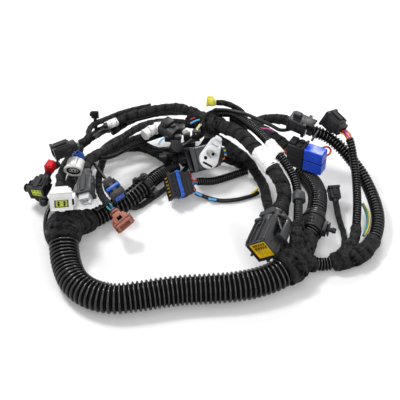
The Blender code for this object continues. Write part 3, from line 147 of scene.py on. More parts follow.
junctionArms = {
    "left_tape_junction": [
        (15.8, [(-148.7, -36.5, 27), (-148.8, -42.7, 26.9), (-148.9, -49, 26.8), (-148.8, -55.2, 26.2),
            (-148.3, -61.3, 24.7)]),
        (10.8, [(-148.7, -36.5, 27), (-142.4, -31.5, 23), (-136.3, -26.2, 19.1), (-130.9, -20.2, 15),
            (-125.3, -14, 11.7)]),
        (6.4, [(-148.7, -36.5, 24), (-150.3, -28.4, 21.8), (-151.9, -20.4, 19.7), (-153.4, -12.3, 17.5),
            (-154.8, -4.3, 15.1)]),
        (5.2, [(-148.7, -36.5, 28), (-150.9, -28.5, 29.7), (-153, -20.4, 31.4), (-155.4, -12.3, 32),
            (-158, -4.2, 31.5)]),
    ],
    "right_tape_junction": [
        (15.8, [(94.3, -85.5, 20), (90.9, -88.8, 19.6), (87.6, -92.2, 19.1), (84.3, -95.5, 18.7),
            (80.7, -98.7, 18.3)]),
        (5.8, [(94.3, -85.5, 20), (92.4, -78.7, 17.6), (90.5, -71.9, 15), (88.7, -65, 12.6), (86.8, -58.1, 10.4)]),
        (10.8, [(94.3, -85.5, 20), (98, -76.8, 20.9), (101.7, -68.1, 21.8), (105.6, -59.4, 22.1),
            (109.5, -50.8, 22)]),
        (7.2, [(94.3, -85.5, 20), (99.6, -84.1, 17.6), (104.9, -82.6, 15.2), (110.1, -81.1, 12.6),
            (115.5, -79.7, 10.3)]),
        (5, [(94.3, -85.5, 20), (95.1, -78.1, 27.4), (95.9, -70.4, 34.5), (96.8, -61.1, 39.3), (97.7, -51, 41.8)]),
    ],
    "corner_tape_junction": [
        (7.2, [(141.3, -74.5, 9.6), (139.4, -75, 9.2), (137.5, -75.5, 8.8), (135.6, -76, 8.4), (133.7, -76.5, 8)]),
        (3.4, [(141.3, -74.5, 9.6), (143.4, -69.1, 8), (145.5, -63.7, 6.5), (147.5, -58.1, 5.4),
            (149.3, -52.5, 4.5)]),
        (7.4, [(141.3, -74.5, 9.6), (150.5, -72.1, 9.8), (159.3, -68.7, 10.2), (167.5, -63.9, 10.9),
            (174.3, -57.3, 11.4)]),
        (4.9, [(141.3, -74.5, 9.6), (146.8, -68.8, 10.8), (152, -62.9, 11.9), (156.3, -56.2, 13.1),
            (159.8, -49.2, 14.3)]),
    ],
    "back_tape_junction": [
        (8.2, [(1.3, 117.5, 46), (5.7, 113.7, 47.6), (10, 109.9, 49.1), (14.4, 106.1, 50.7), (18.7, 102.1, 52.1)]),
        (5, [(1.3, 117.5, 46), (5.6, 118.8, 49.2), (9.9, 120.1, 52.4), (14.4, 120.6, 55.4), (19.1, 119.4, 58.1)]),
        (5.2, [(1.3, 117.5, 46), (-3.6, 121.6, 47.1), (-8.4, 125.9, 48.4), (-13.2, 130, 49.5), (-18.4, 133.8, 50.5)]),
        (4.2, [(1.3, 117.5, 46), (-4.7, 119.4, 44.3), (-10.6, 121.4, 42.6), (-16.6, 123.2, 41), (-23, 124.4, 40.1)]),
        (6, [(1.3, 117.5, 46), (6.8, 118.9, 44.1), (12.3, 120.2, 42.2), (18.2, 120.4, 40.9), (23.8, 118.6, 40.4)]),
    ],
}
radii = {"main_conduit": 15.8, "diagonal_conduit": 10.8, "fine_conduit": 8.6, "lower_arc": 6.4, "under_branch": 5.8,
    "right_conduit": 10.8, "short_conduit": 7.2, "clip_branch": 3.4, "outer_conduit": 7.4, "inner_conduit": 4.9,
    "top_bundle": 6, "braided_bundle": 8.2, "second_bundle": 5, "outer_arc": 5.2, "second_arc": 4.2,
    "third_arc": 3.2, "white_plug_branch": 3.4, "black_plug_branch": 4, "oval_plug_branch": 3.4,
    "injector_branch": 4, "band_plug_lead": 1.8, "centre_cable": 4.6, "thin_loop": 2.4, "socket_bundle": 5.2,
    "yellow_plug_sleeve": 3.4}
# how each bundle is wrapped, in millimetres
bundleLooks = {
    "main_conduit": {"look": "ribbed", "pitch": 4.8, "depth": 2.6, "sides": 40, "stiffness": "stiff"},
    "diagonal_conduit": {"look": "ribbed", "pitch": 5.0, "depth": 2.0, "sides": 32, "stiffness": "stiff"},
    "fine_conduit": {"look": "ribbed", "pitch": 2.9, "depth": 1.4, "sides": 28, "stiffness": "stiff"},
    "right_conduit": {"look": "ribbed", "pitch": 4.3, "depth": 2.1, "sides": 32, "stiffness": "stiff"},
    "short_conduit": {"look": "ribbed", "pitch": 3.5, "depth": 1.6, "sides": 28, "stiffness": "stiff"},
    "outer_conduit": {"look": "ribbed", "pitch": 3.8, "depth": 1.8, "sides": 28, "stiffness": "stiff"},
    "inner_conduit": {"look": "ribbed", "pitch": 3.2, "depth": 1.3, "sides": 24, "stiffness": "stiff"},
    "centre_cable": {"look": "ribbed", "pitch": 2.6, "depth": 1.0, "sides": 24, "stiffness": "medium"},
    "second_bundle": {"look": "ribbed", "pitch": 2.9, "depth": 1.1, "sides": 24, "stiffness": "medium"},
    "braided_bundle": {"look": "taped", "step": 15, "stiffness": "stiff"},
    "lower_arc": {"look": "taped", "step": 13, "stiffness": "medium"},
    "under_branch": {"look": "taped", "step": 12, "stiffness": "medium"},
    "outer_arc": {"look": "taped", "step": 12, "stiffness": "medium"},
    "second_arc": {"look": "taped", "step": 11, "stiffness": "medium"},
    "third_arc": {"look": "taped", "step": 10, "stiffness": "medium"},
    "top_bundle": {"look": "taped", "step": 12, "stiffness": "medium"},
    "socket_bundle": {"look": "taped", "step": 11, "stiffness": "medium"},
    "clip_branch": {"look": "taped", "step": 10, "stiffness": "medium"},
    "white_plug_branch": {"look": "taped", "step": 10, "stiffness": "medium"},
    "black_plug_branch": {"look": "taped", "step": 10, "stiffness": "medium"},
    "oval_plug_branch": {"look": "taped", "step": 10, "stiffness": "medium"},
    "injector_branch": {"look": "taped", "step": 10, "stiffness": "medium"},
    "yellow_plug_sleeve": {"look": "taped", "step": 9, "stiffness": "medium"},
    "band_plug_lead": {"look": "sheath", "stiffness": "limp"},
    "thin_loop": {"look": "sheath", "stiffness": "limp"},
}


def link(obj):
    bpy.context.scene.collection.objects.link(obj)
    return obj


def evaluatedMesh(obj):
    return bpy.data.meshes.new_from_object(obj.evaluated_get(bpy.context.evaluated_depsgraph_get()))


def objectFrom(body, name):
    # the object made of a finished bmesh
    mesh = bpy.data.meshes.new(name)
    body.to_mesh(mesh)
    body.free()
    return link(bpy.data.objects.new(name, mesh))


def pointsOf(obj):
    return np.array([v.co for v in obj.data.vertices])


def normalsOf(obj):
    return np.array([v.normal for v in obj.data.vertices])


def loopVertices(mesh):
    loops = np.empty(len(mesh.loops), int)
    mesh.loops.foreach_get("vertex_index", loops)
    return loops


def headings(path):
    heading = np.gradient(path, axis=0)
    heading /= np.linalg.norm(heading, axis=1)[:, None]
    return heading


def distances(path):
    steps = np.linalg.norm(np.diff(path, axis=0), axis=1)
    return np.concatenate([[0.0], np.cumsum(steps)])


def smoothPath(points, step=0.8):
    points = np.array(points, float) * mm
    along = distances(points)
    slopes = np.gradient(points, along, axis=0)
    fine = []
    for i in range(len(points) - 1):
        span = along[i + 1] - along[i]
        for t in np.linspace(0, 1, 24, endpoint=False):
            fine.append((2 * t**3 - 3 * t**2 + 1) * points[i] + (t**3 - 2 * t**2 + t) * span * slopes[i]
                        + (3 * t**2 - 2 * t**3) * points[i + 1] + (t**3 - t**2) * span * slopes[i + 1])
    fine.append(points[-1])
    fine = np.array(fine)
    return pathAt(fine, np.linspace(0, distances(fine)[-1], max(4, round(distances(fine)[-1] / (step * mm)))))


def pathAt(path, places):
    along = distances(path)
    return np.stack([np.interp(places, along, path[:, axis]) for axis in range(3)], axis=1)


def sweep(name, path, radius, sides=20, factors=None):
    # a bevelled curve, turned into a mesh
    curve = bpy.data.curves.new(name, "CURVE")
    curve.dimensions = "3D"
    curve.bevel_depth = radius
    curve.bevel_resolution = (sides - 4) // 2
    curve.use_fill_caps = True
    spline = curve.splines.new("POLY")
    spline.points.add(len(path) - 1)
    for index, place in enumerate(path):
        spline.points[index].co = (*place, 1.0)
        spline.points[index].radius = 1.0 if factors is None else factors[index]
    holder = link(bpy.data.objects.new(name, curve))
    mesh = evaluatedMesh(holder)
    bpy.data.objects.remove(holder)
    obj = link(bpy.data.objects.new(name, mesh))
    obj.name = name
    mesh.shade_smooth()
    return obj


def alongAround(obj, path):
    # distance along the path and angle round it, for each vertex
    points = pointsOf(obj)
    along = distances(path)
    index = np.array([int(np.argmin(((path - p)**2).sum(1))) for p in points])
    heading = headings(path)
    up = np.zeros_like(path)
    side = np.cross(heading[0], (0.0, 0.0, 1.0))
    if np.linalg.norm(side) < 0.1:
        side = np.cross(heading[0], (1.0, 0.0, 0.0))
    for i, direction in enumerate(heading):
        side = side - direction * np.dot(side, direction)
        side = side / np.linalg.norm(side)
        up[i] = side
    out = points - path[index]
    out -= heading[index] * (out * heading[index]).sum(1)[:, None]
    size = np.maximum(np.linalg.norm(out, axis=1), 1e-9)
    out /= size[:, None]
    angle = np.arctan2((np.cross(heading[index], up[index]) * out).sum(1), (up[index] * out).sum(1))
    return along[index], angle, out, size


def lengthUv(obj, path, radius):
    # UV in metres: along the bundle, and round it
    place, angle, _, _ = alongAround(obj, path)
    mesh = obj.data
    layer = mesh.uv_layers[0] if mesh.uv_layers else mesh.uv_layers.new(name="UVMap")
    loops = loopVertices(mesh)
    sizes = np.array([p.loop_total for p in mesh.polygons])
    owner = np.repeat(np.arange(len(sizes)), sizes)
    turned = angle[loops]
    low = np.full(len(sizes), 9.0)
    np.minimum.at(low, owner, turned)
    turned = np.where(turned - low[owner] > math.pi, turned - 2 * math.pi, turned)
    uv = np.stack([place[loops], turned * radius], axis=1).astype(np.float32)
    layer.data.foreach_set("uv", uv.ravel())


def noiseAt(points, scale, seed=0.0):
    return np.array([noise.noise(Vector(p) / scale + Vector((seed, seed * 1.7, seed * 0.3))) for p in points])


def setPoints(obj, points):
    obj.data.vertices.foreach_set("co", np.asarray(points, np.float32).ravel())
    obj.data.update()


def ribbed(name, path, radius, look):
    # seven points a rib: the groove, up over a rounded crest and down again
    length = distances(path)[-1]
    ribs = max(2, round(length / (look["pitch"] * mm)))
    pitch = length / ribs
    places, factors = [0.0], [1 - look["depth"] * mm / radius]
    for rib in range(ribs):
        for share, lift in ((0.18, 0.0), (0.24, 0.6), (0.36, 0.92), (0.5, 1.0), (0.64, 0.92), (0.76, 0.6),
            (0.82, 0.0)):
            places.append((rib + share) * pitch)
            factors.append(1 - (1 - lift) * look["depth"] * mm / radius)
    places.append(length)
    factors.append(factors[0])
    line = pathAt(path, np.array(places))
    obj = sweep(name, line, radius, look["sides"], factors)
    lengthUv(obj, line, radius)
    # how high each point lies between groove and crest, which the material reads
    size = alongAround(obj, line)[3]
    lift = obj.data.attributes.new("ribLift", "FLOAT", "POINT")
    low = radius - look["depth"] * mm
    lift.data.foreach_set("value", np.clip((size - low) / (radius - low), 0, 1).astype(np.float32))
    return obj


def markDark(obj, dark):
    # where a fold or the edge of a turn lies in shade, which the tape's material reads
    layer = obj.data.attributes.new("turnDark", "FLOAT", "POINT")
    layer.data.foreach_set("value", np.clip(dark, 0, 1).astype(np.float32))


def taped(name, path, radius, look, sides=26):
    # cloth tape wound with an overlap: a low step each turn, over a lumpy bundle
    length = distances(path)[-1]
    line = pathAt(path, np.linspace(0, length, max(6, round(length / (1.25 * mm)))))
    obj = sweep(name, line, radius, sides)
    place, angle, out, size = alongAround(obj, line)
    points = pointsOf(obj)
    step = look["step"] * mm
    turn = (place / step + angle / (2 * math.pi) + 0.25 * noiseAt(points, 30 * mm, 4.0)) % 1.0
    ridge = np.clip(turn / 0.92, 0, 1) * 0.7 - 0.45
    lumps = 0.6 * noiseAt(points, 12 * mm, 1.0) + 0.3 * noiseAt(points, 5 * mm, 7.0)
    end = np.minimum(place, length - place)
    rounded = np.clip(end / (1.2 * mm), 0, 1)
    grow = (ridge + lumps) * mm * rounded - (1 - rounded) * 0.5 * mm
    grow = np.where(size > radius * 0.5, grow * min(1.0, radius / (6 * mm)), 0.0)
    setPoints(obj, points + out * grow[:, None])
    # painted shade at the edge of each turn and in the hollows between lumps
    markDark(obj, np.clip(1 - turn / 0.16, 0, 1) * 0.9 + np.clip(-lumps, 0, 1))
    lengthUv(obj, line, radius)
    return obj


def sheath(name, path, radius):
    length = distances(path)[-1]
    line = pathAt(path, np.linspace(0, length, max(8, round(length / (2.5 * mm)))))
    obj = sweep(name, line, radius, 16)
    lengthUv(obj, line, radius)
    return obj


def declareCord(name, path):
    length = distances(path)[-1]
    diameter = 2 * radii[name] * mm
    if length < max(0.03, 6 * diameter):
        return


def groupSockets(tree, inputs, outputs):
    for label, kind in inputs:
        tree.interface.new_socket(name=label, in_out="INPUT", socket_type=kind)
    for label, kind in outputs:
        tree.interface.new_socket(name=label, in_out="OUTPUT", socket_type=kind)
    return tree.nodes.new("NodeGroupInput"), tree.nodes.new("NodeGroupOutput")


def addNode(tree, kind, **settings):
    node = tree.nodes.new(kind)
    for key, value in settings.items():
        if key.startswith("in_"):
            node.inputs[int(key[3:])].default_value = value
        else:
            setattr(node, key, value)
    return node


def spread(tree, source, low, high):
    # a 0 to 1 value stretched between two others
    node = addNode(tree, "ShaderNodeMapRange", clamp=True)
    for socket, limit in (("To Min", low), ("To Max", high)):
        if isinstance(limit, float):
            node.inputs[socket].default_value = limit
        else:
            tree.links.new(limit, node.inputs[socket])
    tree.links.new(source, node.inputs["Value"])
    return node.outputs["Result"]


def mathNode(tree, operation, a, b=None):
    node = addNode(tree, "ShaderNodeMath", operation=operation)
    for index, value in enumerate((a, b)):
        if value is None:
            continue
        if isinstance(value, (int, float)):
            node.inputs[index].default_value = value
        else:
            tree.links.new(value, node.inputs[index])
    return node.outputs[0]


def tinted(tree, colour, factor, dark, light):
    # a colour made darker and lighter by a 0 to 1 value
    gain = spread(tree, factor, dark, light)
    node = addNode(tree, "ShaderNodeVectorMath", operation="SCALE")
    tree.links.new(colour, node.inputs[0])
    tree.links.new(gain, node.inputs["Scale"])
    return node.outputs[0]


def mouldedGrain():
    # moulded plastic: cloudy colour, fine grain, soft unevenness in the gloss
    tree = bpy.data.node_groups.new("mouldedGrain", "ShaderNodeTree")
    inside, outside = groupSockets(
        tree,
        [("Vector", "NodeSocketVector"), ("Colour", "NodeSocketColor"), ("Cloud Size", "NodeSocketFloat"),
         ("Gloss Low", "NodeSocketFloat"), ("Gloss High", "NodeSocketFloat"), ("Grain", "NodeSocketFloat")],
        [("Colour", "NodeSocketColor"), ("Roughness", "NodeSocketFloat"), ("Normal", "NodeSocketVector")])
    cloud = addNode(tree, "ShaderNodeTexNoise")
    cloud.inputs["Detail"].default_value = 4
    tree.links.new(inside.outputs["Vector"], cloud.inputs["Vector"])
    tree.links.new(inside.outputs["Cloud Size"], cloud.inputs["Scale"])
    colour = tinted(tree, inside.outputs["Colour"], cloud.outputs["Fac"], 0.72, 1.28)
    gloss = addNode(tree, "ShaderNodeMapRange")
    tree.links.new(cloud.outputs["Fac"], gloss.inputs["Value"])
    gloss.inputs["From Min"].default_value = 0.3
    gloss.inputs["From Max"].default_value = 0.7
    tree.links.new(inside.outputs["Gloss Low"], gloss.inputs["To Min"])
    tree.links.new(inside.outputs["Gloss High"], gloss.inputs["To Max"])
    grain = addNode(tree, "ShaderNodeTexNoise")
    grain.inputs["Scale"].default_value = 2600
    grain.inputs["Detail"].default_value = 2
    tree.links.new(inside.outputs["Vector"], grain.inputs["Vector"])
    bump = addNode(tree, "ShaderNodeBump")
    bump.inputs["Distance"].default_value = 0.0002
    tree.links.new(inside.outputs["Grain"], bump.inputs["Strength"])
    tree.links.new(grain.outputs["Fac"], bump.inputs["Height"])
    tree.links.new(colour, outside.inputs["Colour"])
    tree.links.new(gloss.outputs["Result"], outside.inputs["Roughness"])
    tree.links.new(bump.outputs["Normal"], outside.inputs["Normal"])
    return tree


def wovenTape():
    # cloth harness tape: a fine weave, fuzz, and wrinkles stretched round the bundle like the edges of the turns; the
    # colour varies at random and follows the wrinkles, painted shade in their hollows and painted light on their
    # ridges
    tree = bpy.data.node_groups.new("wovenTape", "ShaderNodeTree")
    inside, outside = groupSockets(
        tree,
        [("Vector", "NodeSocketVector"), ("Place", "NodeSocketVector"), ("Colour", "NodeSocketColor"),
         ("Thread Scale", "NodeSocketFloat"), ("Relief Tone And Shade", "NodeSocketFloat")],
        [("Colour", "NodeSocketColor"), ("Roughness", "NodeSocketFloat"), ("Normal", "NodeSocketVector")])
    split = addNode(tree, "ShaderNodeSeparateXYZ")
    tree.links.new(inside.outputs["Vector"], split.inputs[0])
    waves = []
    for axis in ("X", "Y"):
        scaled = mathNode(tree, "MULTIPLY", split.outputs[axis], inside.outputs["Thread Scale"])
        waves.append(mathNode(tree, "SINE", scaled))
    weave = mathNode(tree, "MULTIPLY", waves[0], waves[1])
    cloud = addNode(tree, "ShaderNodeTexNoise")
    cloud.inputs["Scale"].default_value = 160
    cloud.inputs["Detail"].default_value = 5
    tree.links.new(inside.outputs["Place"], cloud.inputs["Vector"])
    fuzz = addNode(tree, "ShaderNodeTexNoise")
    fuzz.inputs["Scale"].default_value = 1500
    tree.links.new(inside.outputs["Place"], fuzz.inputs["Vector"])
    stretch = addNode(tree, "ShaderNodeVectorMath", operation="MULTIPLY")
    stretch.inputs[1].default_value = (420, 70, 1)
    tree.links.new(inside.outputs["Vector"], stretch.inputs[0])
    wrinkle = addNode(tree, "ShaderNodeTexNoise")
    wrinkle.inputs["Scale"].default_value = 1.0
    wrinkle.inputs["Detail"].default_value = 3
    wrinkle.inputs["Distortion"].default_value = 0.6
    tree.links.new(stretch.outputs[0], wrinkle.inputs["Vector"])
    fine = mathNode(tree, "ADD", mathNode(tree, "MULTIPLY", weave, 0.35), fuzz.outputs["Fac"])
    height = mathNode(tree, "ADD", fine, mathNode(tree, "MULTIPLY", wrinkle.outputs["Fac"], 5.0))
    bump = addNode(tree, "ShaderNodeBump")
    tree.links.new(mathNode(tree, "MULTIPLY", inside.outputs["Relief Tone And Shade"], 0.9), bump.inputs["Strength"])
    bump.inputs["Distance"].default_value = 0.0008
    tree.links.new(height, bump.inputs["Height"])
    # the colour follows a random cloud and the stretched wrinkles: painted shade in the wrinkles' hollows and painted
    # light on their ridges
    toneAndWrinkleShade = mathNode(tree, "MULTIPLY", cloud.outputs["Fac"], mathNode(tree, "MULTIPLY", wrinkle.outputs["Fac"], 1.9))
    low = mathNode(tree, "SUBTRACT", 1.0, mathNode(tree, "MULTIPLY", inside.outputs["Relief Tone And Shade"], 0.95))
    high = mathNode(tree, "ADD", 1.0, mathNode(tree, "MULTIPLY", inside.outputs["Relief Tone And Shade"], 1.1))
    colour = tinted(tree, inside.outputs["Colour"], toneAndWrinkleShade, low, high)
    tree.links.new(colour, outside.inputs["Colour"])
    tree.links.new(spread(tree, cloud.outputs["Fac"], 0.34, 0.66), outside.inputs["Roughness"])
    tree.links.new(bump.outputs["Normal"], outside.inputs["Normal"])
    return tree


effects = {"mouldedGrain": mouldedGrain(), "wovenTape": wovenTape()}


def newMaterial(name):
    material = bpy.data.materials.new(name)
    material.use_nodes = True
    return material, material.node_tree, material.node_tree.nodes["Principled BSDF"]


def placeEffect(tree, label):
    node = tree.nodes.new("ShaderNodeGroup")
    node.node_tree = effects[label]
    return node


def mouldedMaterial(name, colour, gloss, grain, cloudSize, shine=0.4, ribs=False):
    material, tree, shader = newMaterial(name)
    where = addNode(tree, "ShaderNodeTexCoord")
    grains = placeEffect(tree, "mouldedGrain")
    tree.links.new(where.outputs["Object"], grains.inputs["Vector"])
    grains.inputs["Colour"].default_value = (*colour, 1)
    grains.inputs["Cloud Size"].default_value = cloudSize
    grains.inputs["Gloss Low"].default_value, grains.inputs["Gloss High"].default_value = gloss
    grains.inputs["Grain"].default_value = grain
    tree.links.new(grains.outputs["Colour"], shader.inputs["Base Color"])
    tree.links.new(grains.outputs["Roughness"], shader.inputs["Roughness"])
    tree.links.new(grains.outputs["Normal"], shader.inputs["Normal"])
    shader.inputs["Specular IOR Level"].default_value = shine
    if ribs:
        # the grooves are in shade, so they reflect little
        lift = addNode(tree, "ShaderNodeAttribute", attribute_name="ribLift")
        crest = mathNode(tree, "POWER", lift.outputs["Fac"], 2.2)
        tree.links.new(spread(tree, crest, 0.02, shine), shader.inputs["Specular IOR Level"])
    return material


def tapeMaterial(name, colour, threads=9000, reliefToneAndShade=1.0):
    material, tree, shader = newMaterial(name)
    where = addNode(tree, "ShaderNodeTexCoord")
    weave = placeEffect(tree, "wovenTape")
    tree.links.new(where.outputs["UV"], weave.inputs["Vector"])
    tree.links.new(where.outputs["Object"], weave.inputs["Place"])
    weave.inputs["Colour"].default_value = (*colour, 1)
    weave.inputs["Thread Scale"].default_value = threads
    weave.inputs["Relief Tone And Shade"].default_value = reliefToneAndShade
    # the turnDark mask darkens the colour and dims the gloss: painted shade at the edges of turns, in folds and in
    # hollows
    fold = addNode(tree, "ShaderNodeAttribute", attribute_name="turnDark")
    tree.links.new(tinted(tree, weave.outputs["Colour"], fold.outputs["Fac"], 1.0, 0.12), shader.inputs["Base Color"])
    tree.links.new(weave.outputs["Roughness"], shader.inputs["Roughness"])
    tree.links.new(weave.outputs["Normal"], shader.inputs["Normal"])
    tree.links.new(spread(tree, fold.outputs["Fac"], 0.12, 0.01), shader.inputs["Specular IOR Level"])
    return material


finishes = {
    "conduit_black": mouldedMaterial("conduitPlastic", (0.004, 0.004, 0.0045), (0.15, 0.26), 0.12, 90, shine=0.42),
    "cloth_tape": tapeMaterial("clothTape", (0.034, 0.034, 0.0345)),
    "wire_black": mouldedMaterial("sheathPlastic", (0.005, 0.005, 0.0055), (0.24, 0.38), 0.15, 200, shine=0.28),
    "boot_rubber": mouldedMaterial("bootRubber", (0.009, 0.009, 0.01), (0.5, 0.68), 0.5, 160, shine=0.2),
    "housing_black": mouldedMaterial("housingBlack", (0.017, 0.0172, 0.019), (0.34, 0.5), 0.4, 110, shine=0.26),
    "holder_yellow": mouldedMaterial("holderYellow", (1.0, 0.72, 0.01), (0.34, 0.46), 0.2, 90),
    "lever_grey": mouldedMaterial("leverGrey", (0.86, 0.87, 0.88), (0.3, 0.42), 0.2, 90),
    "lock_blue": mouldedMaterial("lockBlue", (0.02, 0.11, 0.55), (0.3, 0.42), 0.2, 90),
    "housing_white": mouldedMaterial("housingWhite", (0.92, 0.92, 0.9), (0.32, 0.45), 0.2, 90),
    "holder_green": mouldedMaterial("holderGreen", (0.6, 0.68, 0.08), (0.34, 0.46), 0.2, 90),
    "housing_grey": mouldedMaterial("housingGrey", (0.05, 0.052, 0.057), (0.32, 0.46), 0.35, 90, shine=0.3),
    "lock_clear": mouldedMaterial("lockMilky", (0.66, 0.68, 0.7), (0.34, 0.46), 0.15, 60),
    "plug_yellow": mouldedMaterial("plugYellow", (0.72, 0.66, 0.07), (0.34, 0.46), 0.2, 90),
    "plug_blue": mouldedMaterial("plugBlue", (0.01, 0.1, 0.52), (0.3, 0.42), 0.2, 90),
    "plug_terracotta": mouldedMaterial("plugTerracotta", (0.36, 0.12, 0.075), (0.42, 0.56), 0.35, 90),
    "relay_blue": mouldedMaterial("relayBlue", (0.012, 0.085, 0.78), (0.26, 0.38), 0.15, 70),
    "cap_red": mouldedMaterial("capRed", (0.68, 0.004, 0.01), (0.3, 0.42), 0.2, 90),
    "tape_white": tapeMaterial("tapeWhite", (0.95, 0.95, 0.94), reliefToneAndShade=0.12),
}
ribbedPlastic = mouldedMaterial("ribbedPlastic", (0.004, 0.004, 0.0045), (0.13, 0.24), 0.12, 90, shine=0.6, ribs=True)
charcoal = mouldedMaterial("charcoalPlastic", (0.03, 0.0305, 0.033), (0.26, 0.4), 0.3, 110, shine=0.5)
# pieces whose plastic is a lighter charcoal than the other black ones
charcoalPieces = ("ecu_plug_housingPiece", "ecuPlugTrim", "lever_plug_housingPiece")
print("materials made:", len(finishes) + 2)


def dress(obj, slotName):
    obj.data.materials.clear()
    finish = charcoal if obj.name in charcoalPieces else finishes[slotName]
    obj.data.materials.append(ribbedPlastic if "ribLift" in obj.data.attributes else finish)


# each plug's own frame: place, forward and sideways, in millimetres
plugFrames = {
    "ecu_plug": ((81.19, -26.78, 39.98), (-.3555, -.9331, -.055), (.7243, -.3122, .6147)),
    "lever_plug": ((18.03, 75.37, 33.02), (-.9053, -.4209, .0575), (.2434, -.6248, -.7419)),
    "lever": ((1.56, 65.5, 31.88), (.3957, .7492, .5313), (-.85, .0793, .521)),
    "wide_plug": ((-16.97, 40.38, 18.05), (-.9016, -.4057, .1503), (.2575, -.7824, -.5671)),
    "white_plug": ((-151.67, -16.77, 52.13), (.0907, -.9028, .4204), (.995, .1, 0)),
    "black_plug": ((-178.79, 38.22, 27.97), (-.3024, -.9491, -.0884), (.9337, -.3136, .173)),
    "grey_plug": ((-128.69, 20.2, 49.95), (.0254, -.9844, -.1742), (.9409, -.0353, .3368)),
    "band_plug": ((-107.53, 19.27, 39.93), (.581, -.7747, -.2496), (.803, .4955, .3312)),
    "flat_plug": ((-146.97, 65.37, 53.97), (-.8887, -.4468, -.1029), (.4101, -.875, .2574)),
    "sensor_plug": ((156.11, 77.71, 65.09), (-.6381, .7108, .2961), (-.6316, -.7031, .3267)),
    "clip_plug": ((147.27, 12.78, 13.11), (-.1003, .9227, .3721), (-.9941, -.108, 0)),
    "yellow_plug": ((14.0, 123.53, 70.28), (-.9955, .088, .0349), (-.0589, -.8642, .4997)),
    "oval_plug": ((-143.74, 70.2, 35.99), (-.1295, -.9911, -.0308), (.9916, -.1296, 0)),
    "injector_plug": ((-98.51, -21.72, 32.93), (.6182, -.7459, -.2481), (.7647, .4976, .4094)),
    "relay_bank": ((94.91, 71.15, 42.0), (.867, -.4983, 0), (.4983, .867, 0)),
    "conduit_clip": ((-68.26, 39.8, 13.04), (.6029, .7978, -.0081), (-.7978, .6029, 0)),
    "conduit_clamp": ((115.53, -34.87, 22.72), (.316, .947, .057), (-.9486, .3165, 0)),
    "red_cap": ((-174.34, 49.83, 28.65), (-.3607, -.9313, -.0516), (.9325, -.3612, 0)),
    "second_plug": ((112.18, 98.85, 55.05), (.8796, -.4581, -.128), (.4619, .8869, 0)),
    "oval_socket": ((-54.82, 119.51, 44.29), (.7624, -.6421, -.0803), (.6441, .7649, 0)),
    "object": ((0, 0, 0), (1, 0, 0), (0, 1, 0)),
}


def frameOf(name):
    place, forward, side = plugFrames[name]
    x, y = Vector(forward).normalized(), Vector(side).normalized()
    turn = Matrix((x, y, x.cross(y))).transposed().to_4x4()
    return Matrix.Translation(Vector(place) * mm) @ turn


def edgesAt(body, verts):
    # in the mesh's own order, because the order of a set changes from run to run
    chosen = set(verts)
    return [e for e in body.edges if chosen.intersection(e.verts)]


def addBox(body, frame, span):
    low, high, edge = Vector(span[0:6:2]) * mm, Vector(span[1:6:2]) * mm, span[6] * mm
    made = bmesh.ops.create_cube(body, size=1.0)["verts"]
    bmesh.ops.scale(body, vec=high - low, verts=made)
    bmesh.ops.translate(body, vec=(low + high) / 2, verts=made)
    bmesh.ops.transform(body, matrix=frame, verts=made)
    bmesh.ops.bevel(body, geom=edgesAt(body, made), offset=edge, offset_type="OFFSET", segments=2, profile=0.5,
                    affect="EDGES", clamp_overlap=True, material=-1)


def addRod(body, frame, rod, sides=18):
    start, end = Vector(rod[0:3]) * mm, Vector(rod[3:6]) * mm
    wide = rod[6] * mm
    far = (rod[7] if len(rod) > 7 else rod[6]) * mm
    turn = (end - start).to_track_quat("Z", "Y").to_matrix().to_4x4()
    place = frame @ Matrix.Translation((start + end) / 2) @ turn
    made = bmesh.ops.create_cone(body, cap_ends=True, segments=sides, radius1=wide, radius2=far,
                                 depth=(end - start).length, matrix=place)["verts"]
    caps = {f for v in made for f in v.link_faces if len(f.verts) > 4}
    rims = [e for e in body.edges if caps.intersection(e.link_faces)]
    bmesh.ops.bevel(body, geom=rims, offset=min(0.35 * mm, wide * 0.25),
                    offset_type="OFFSET", segments=2, profile=0.5, affect="EDGES", clamp_overlap=True, material=-1)


def finishPiece(obj, finish):
    if finish in finishes:
        dress(obj, finish)
    else:
        obj.data.materials.append(trimFinishes[finish])


def strand(name, path, radius, finish, sides=10):
    # a thin round form along a path
    obj = sweep(name, path, radius * mm, sides)
    lengthUv(obj, path, radius * mm)
    finishPiece(obj, finish)
    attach(obj, "harness")


# how moulded edges are rounded: merge distance in metres, and the angles of flat faces, bevels and sharp shading
roundingValues = {"merge": 0.00002, "flat": 2, "bevel": 32, "sharp": 38}


def fitted(name, frameName, finish, boxes=(), rods=(), rides="harness"):
    # small moulded forms on a plug, in that plug's own frame
    body = bmesh.new()
    frame = frameOf(frameName)
    for span in boxes:
        addBox(body, frame, span)
    for rod in rods:
        addRod(body, frame, rod)
    obj = objectFrom(body, name)
    obj.data.shade_smooth()
    obj.data.set_sharp_from_angle(angle=math.radians(roundingValues["sharp"]))
    finishPiece(obj, finish)
    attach(obj, rides)


# finishes that only small details have
wireColours = {
    "red": (0.5, 0.008, 0.01), "orange": (0.8, 0.2, 0.01), "yellow": (0.75, 0.58, 0.03), "teal": (0.01, 0.24, 0.24),
    "blue": (0.01, 0.1, 0.55), "sky": (0.1, 0.42, 0.85), "pink": (0.7, 0.1, 0.38), "green": (0.02, 0.28, 0.08),
    "white": (0.72, 0.72, 0.7),
}
trimFinishes = {colour + "Wire": mouldedMaterial(colour + "Wire", shade, (0.3, 0.42), 0.1, 400)
                for colour, shade in wireColours.items()}
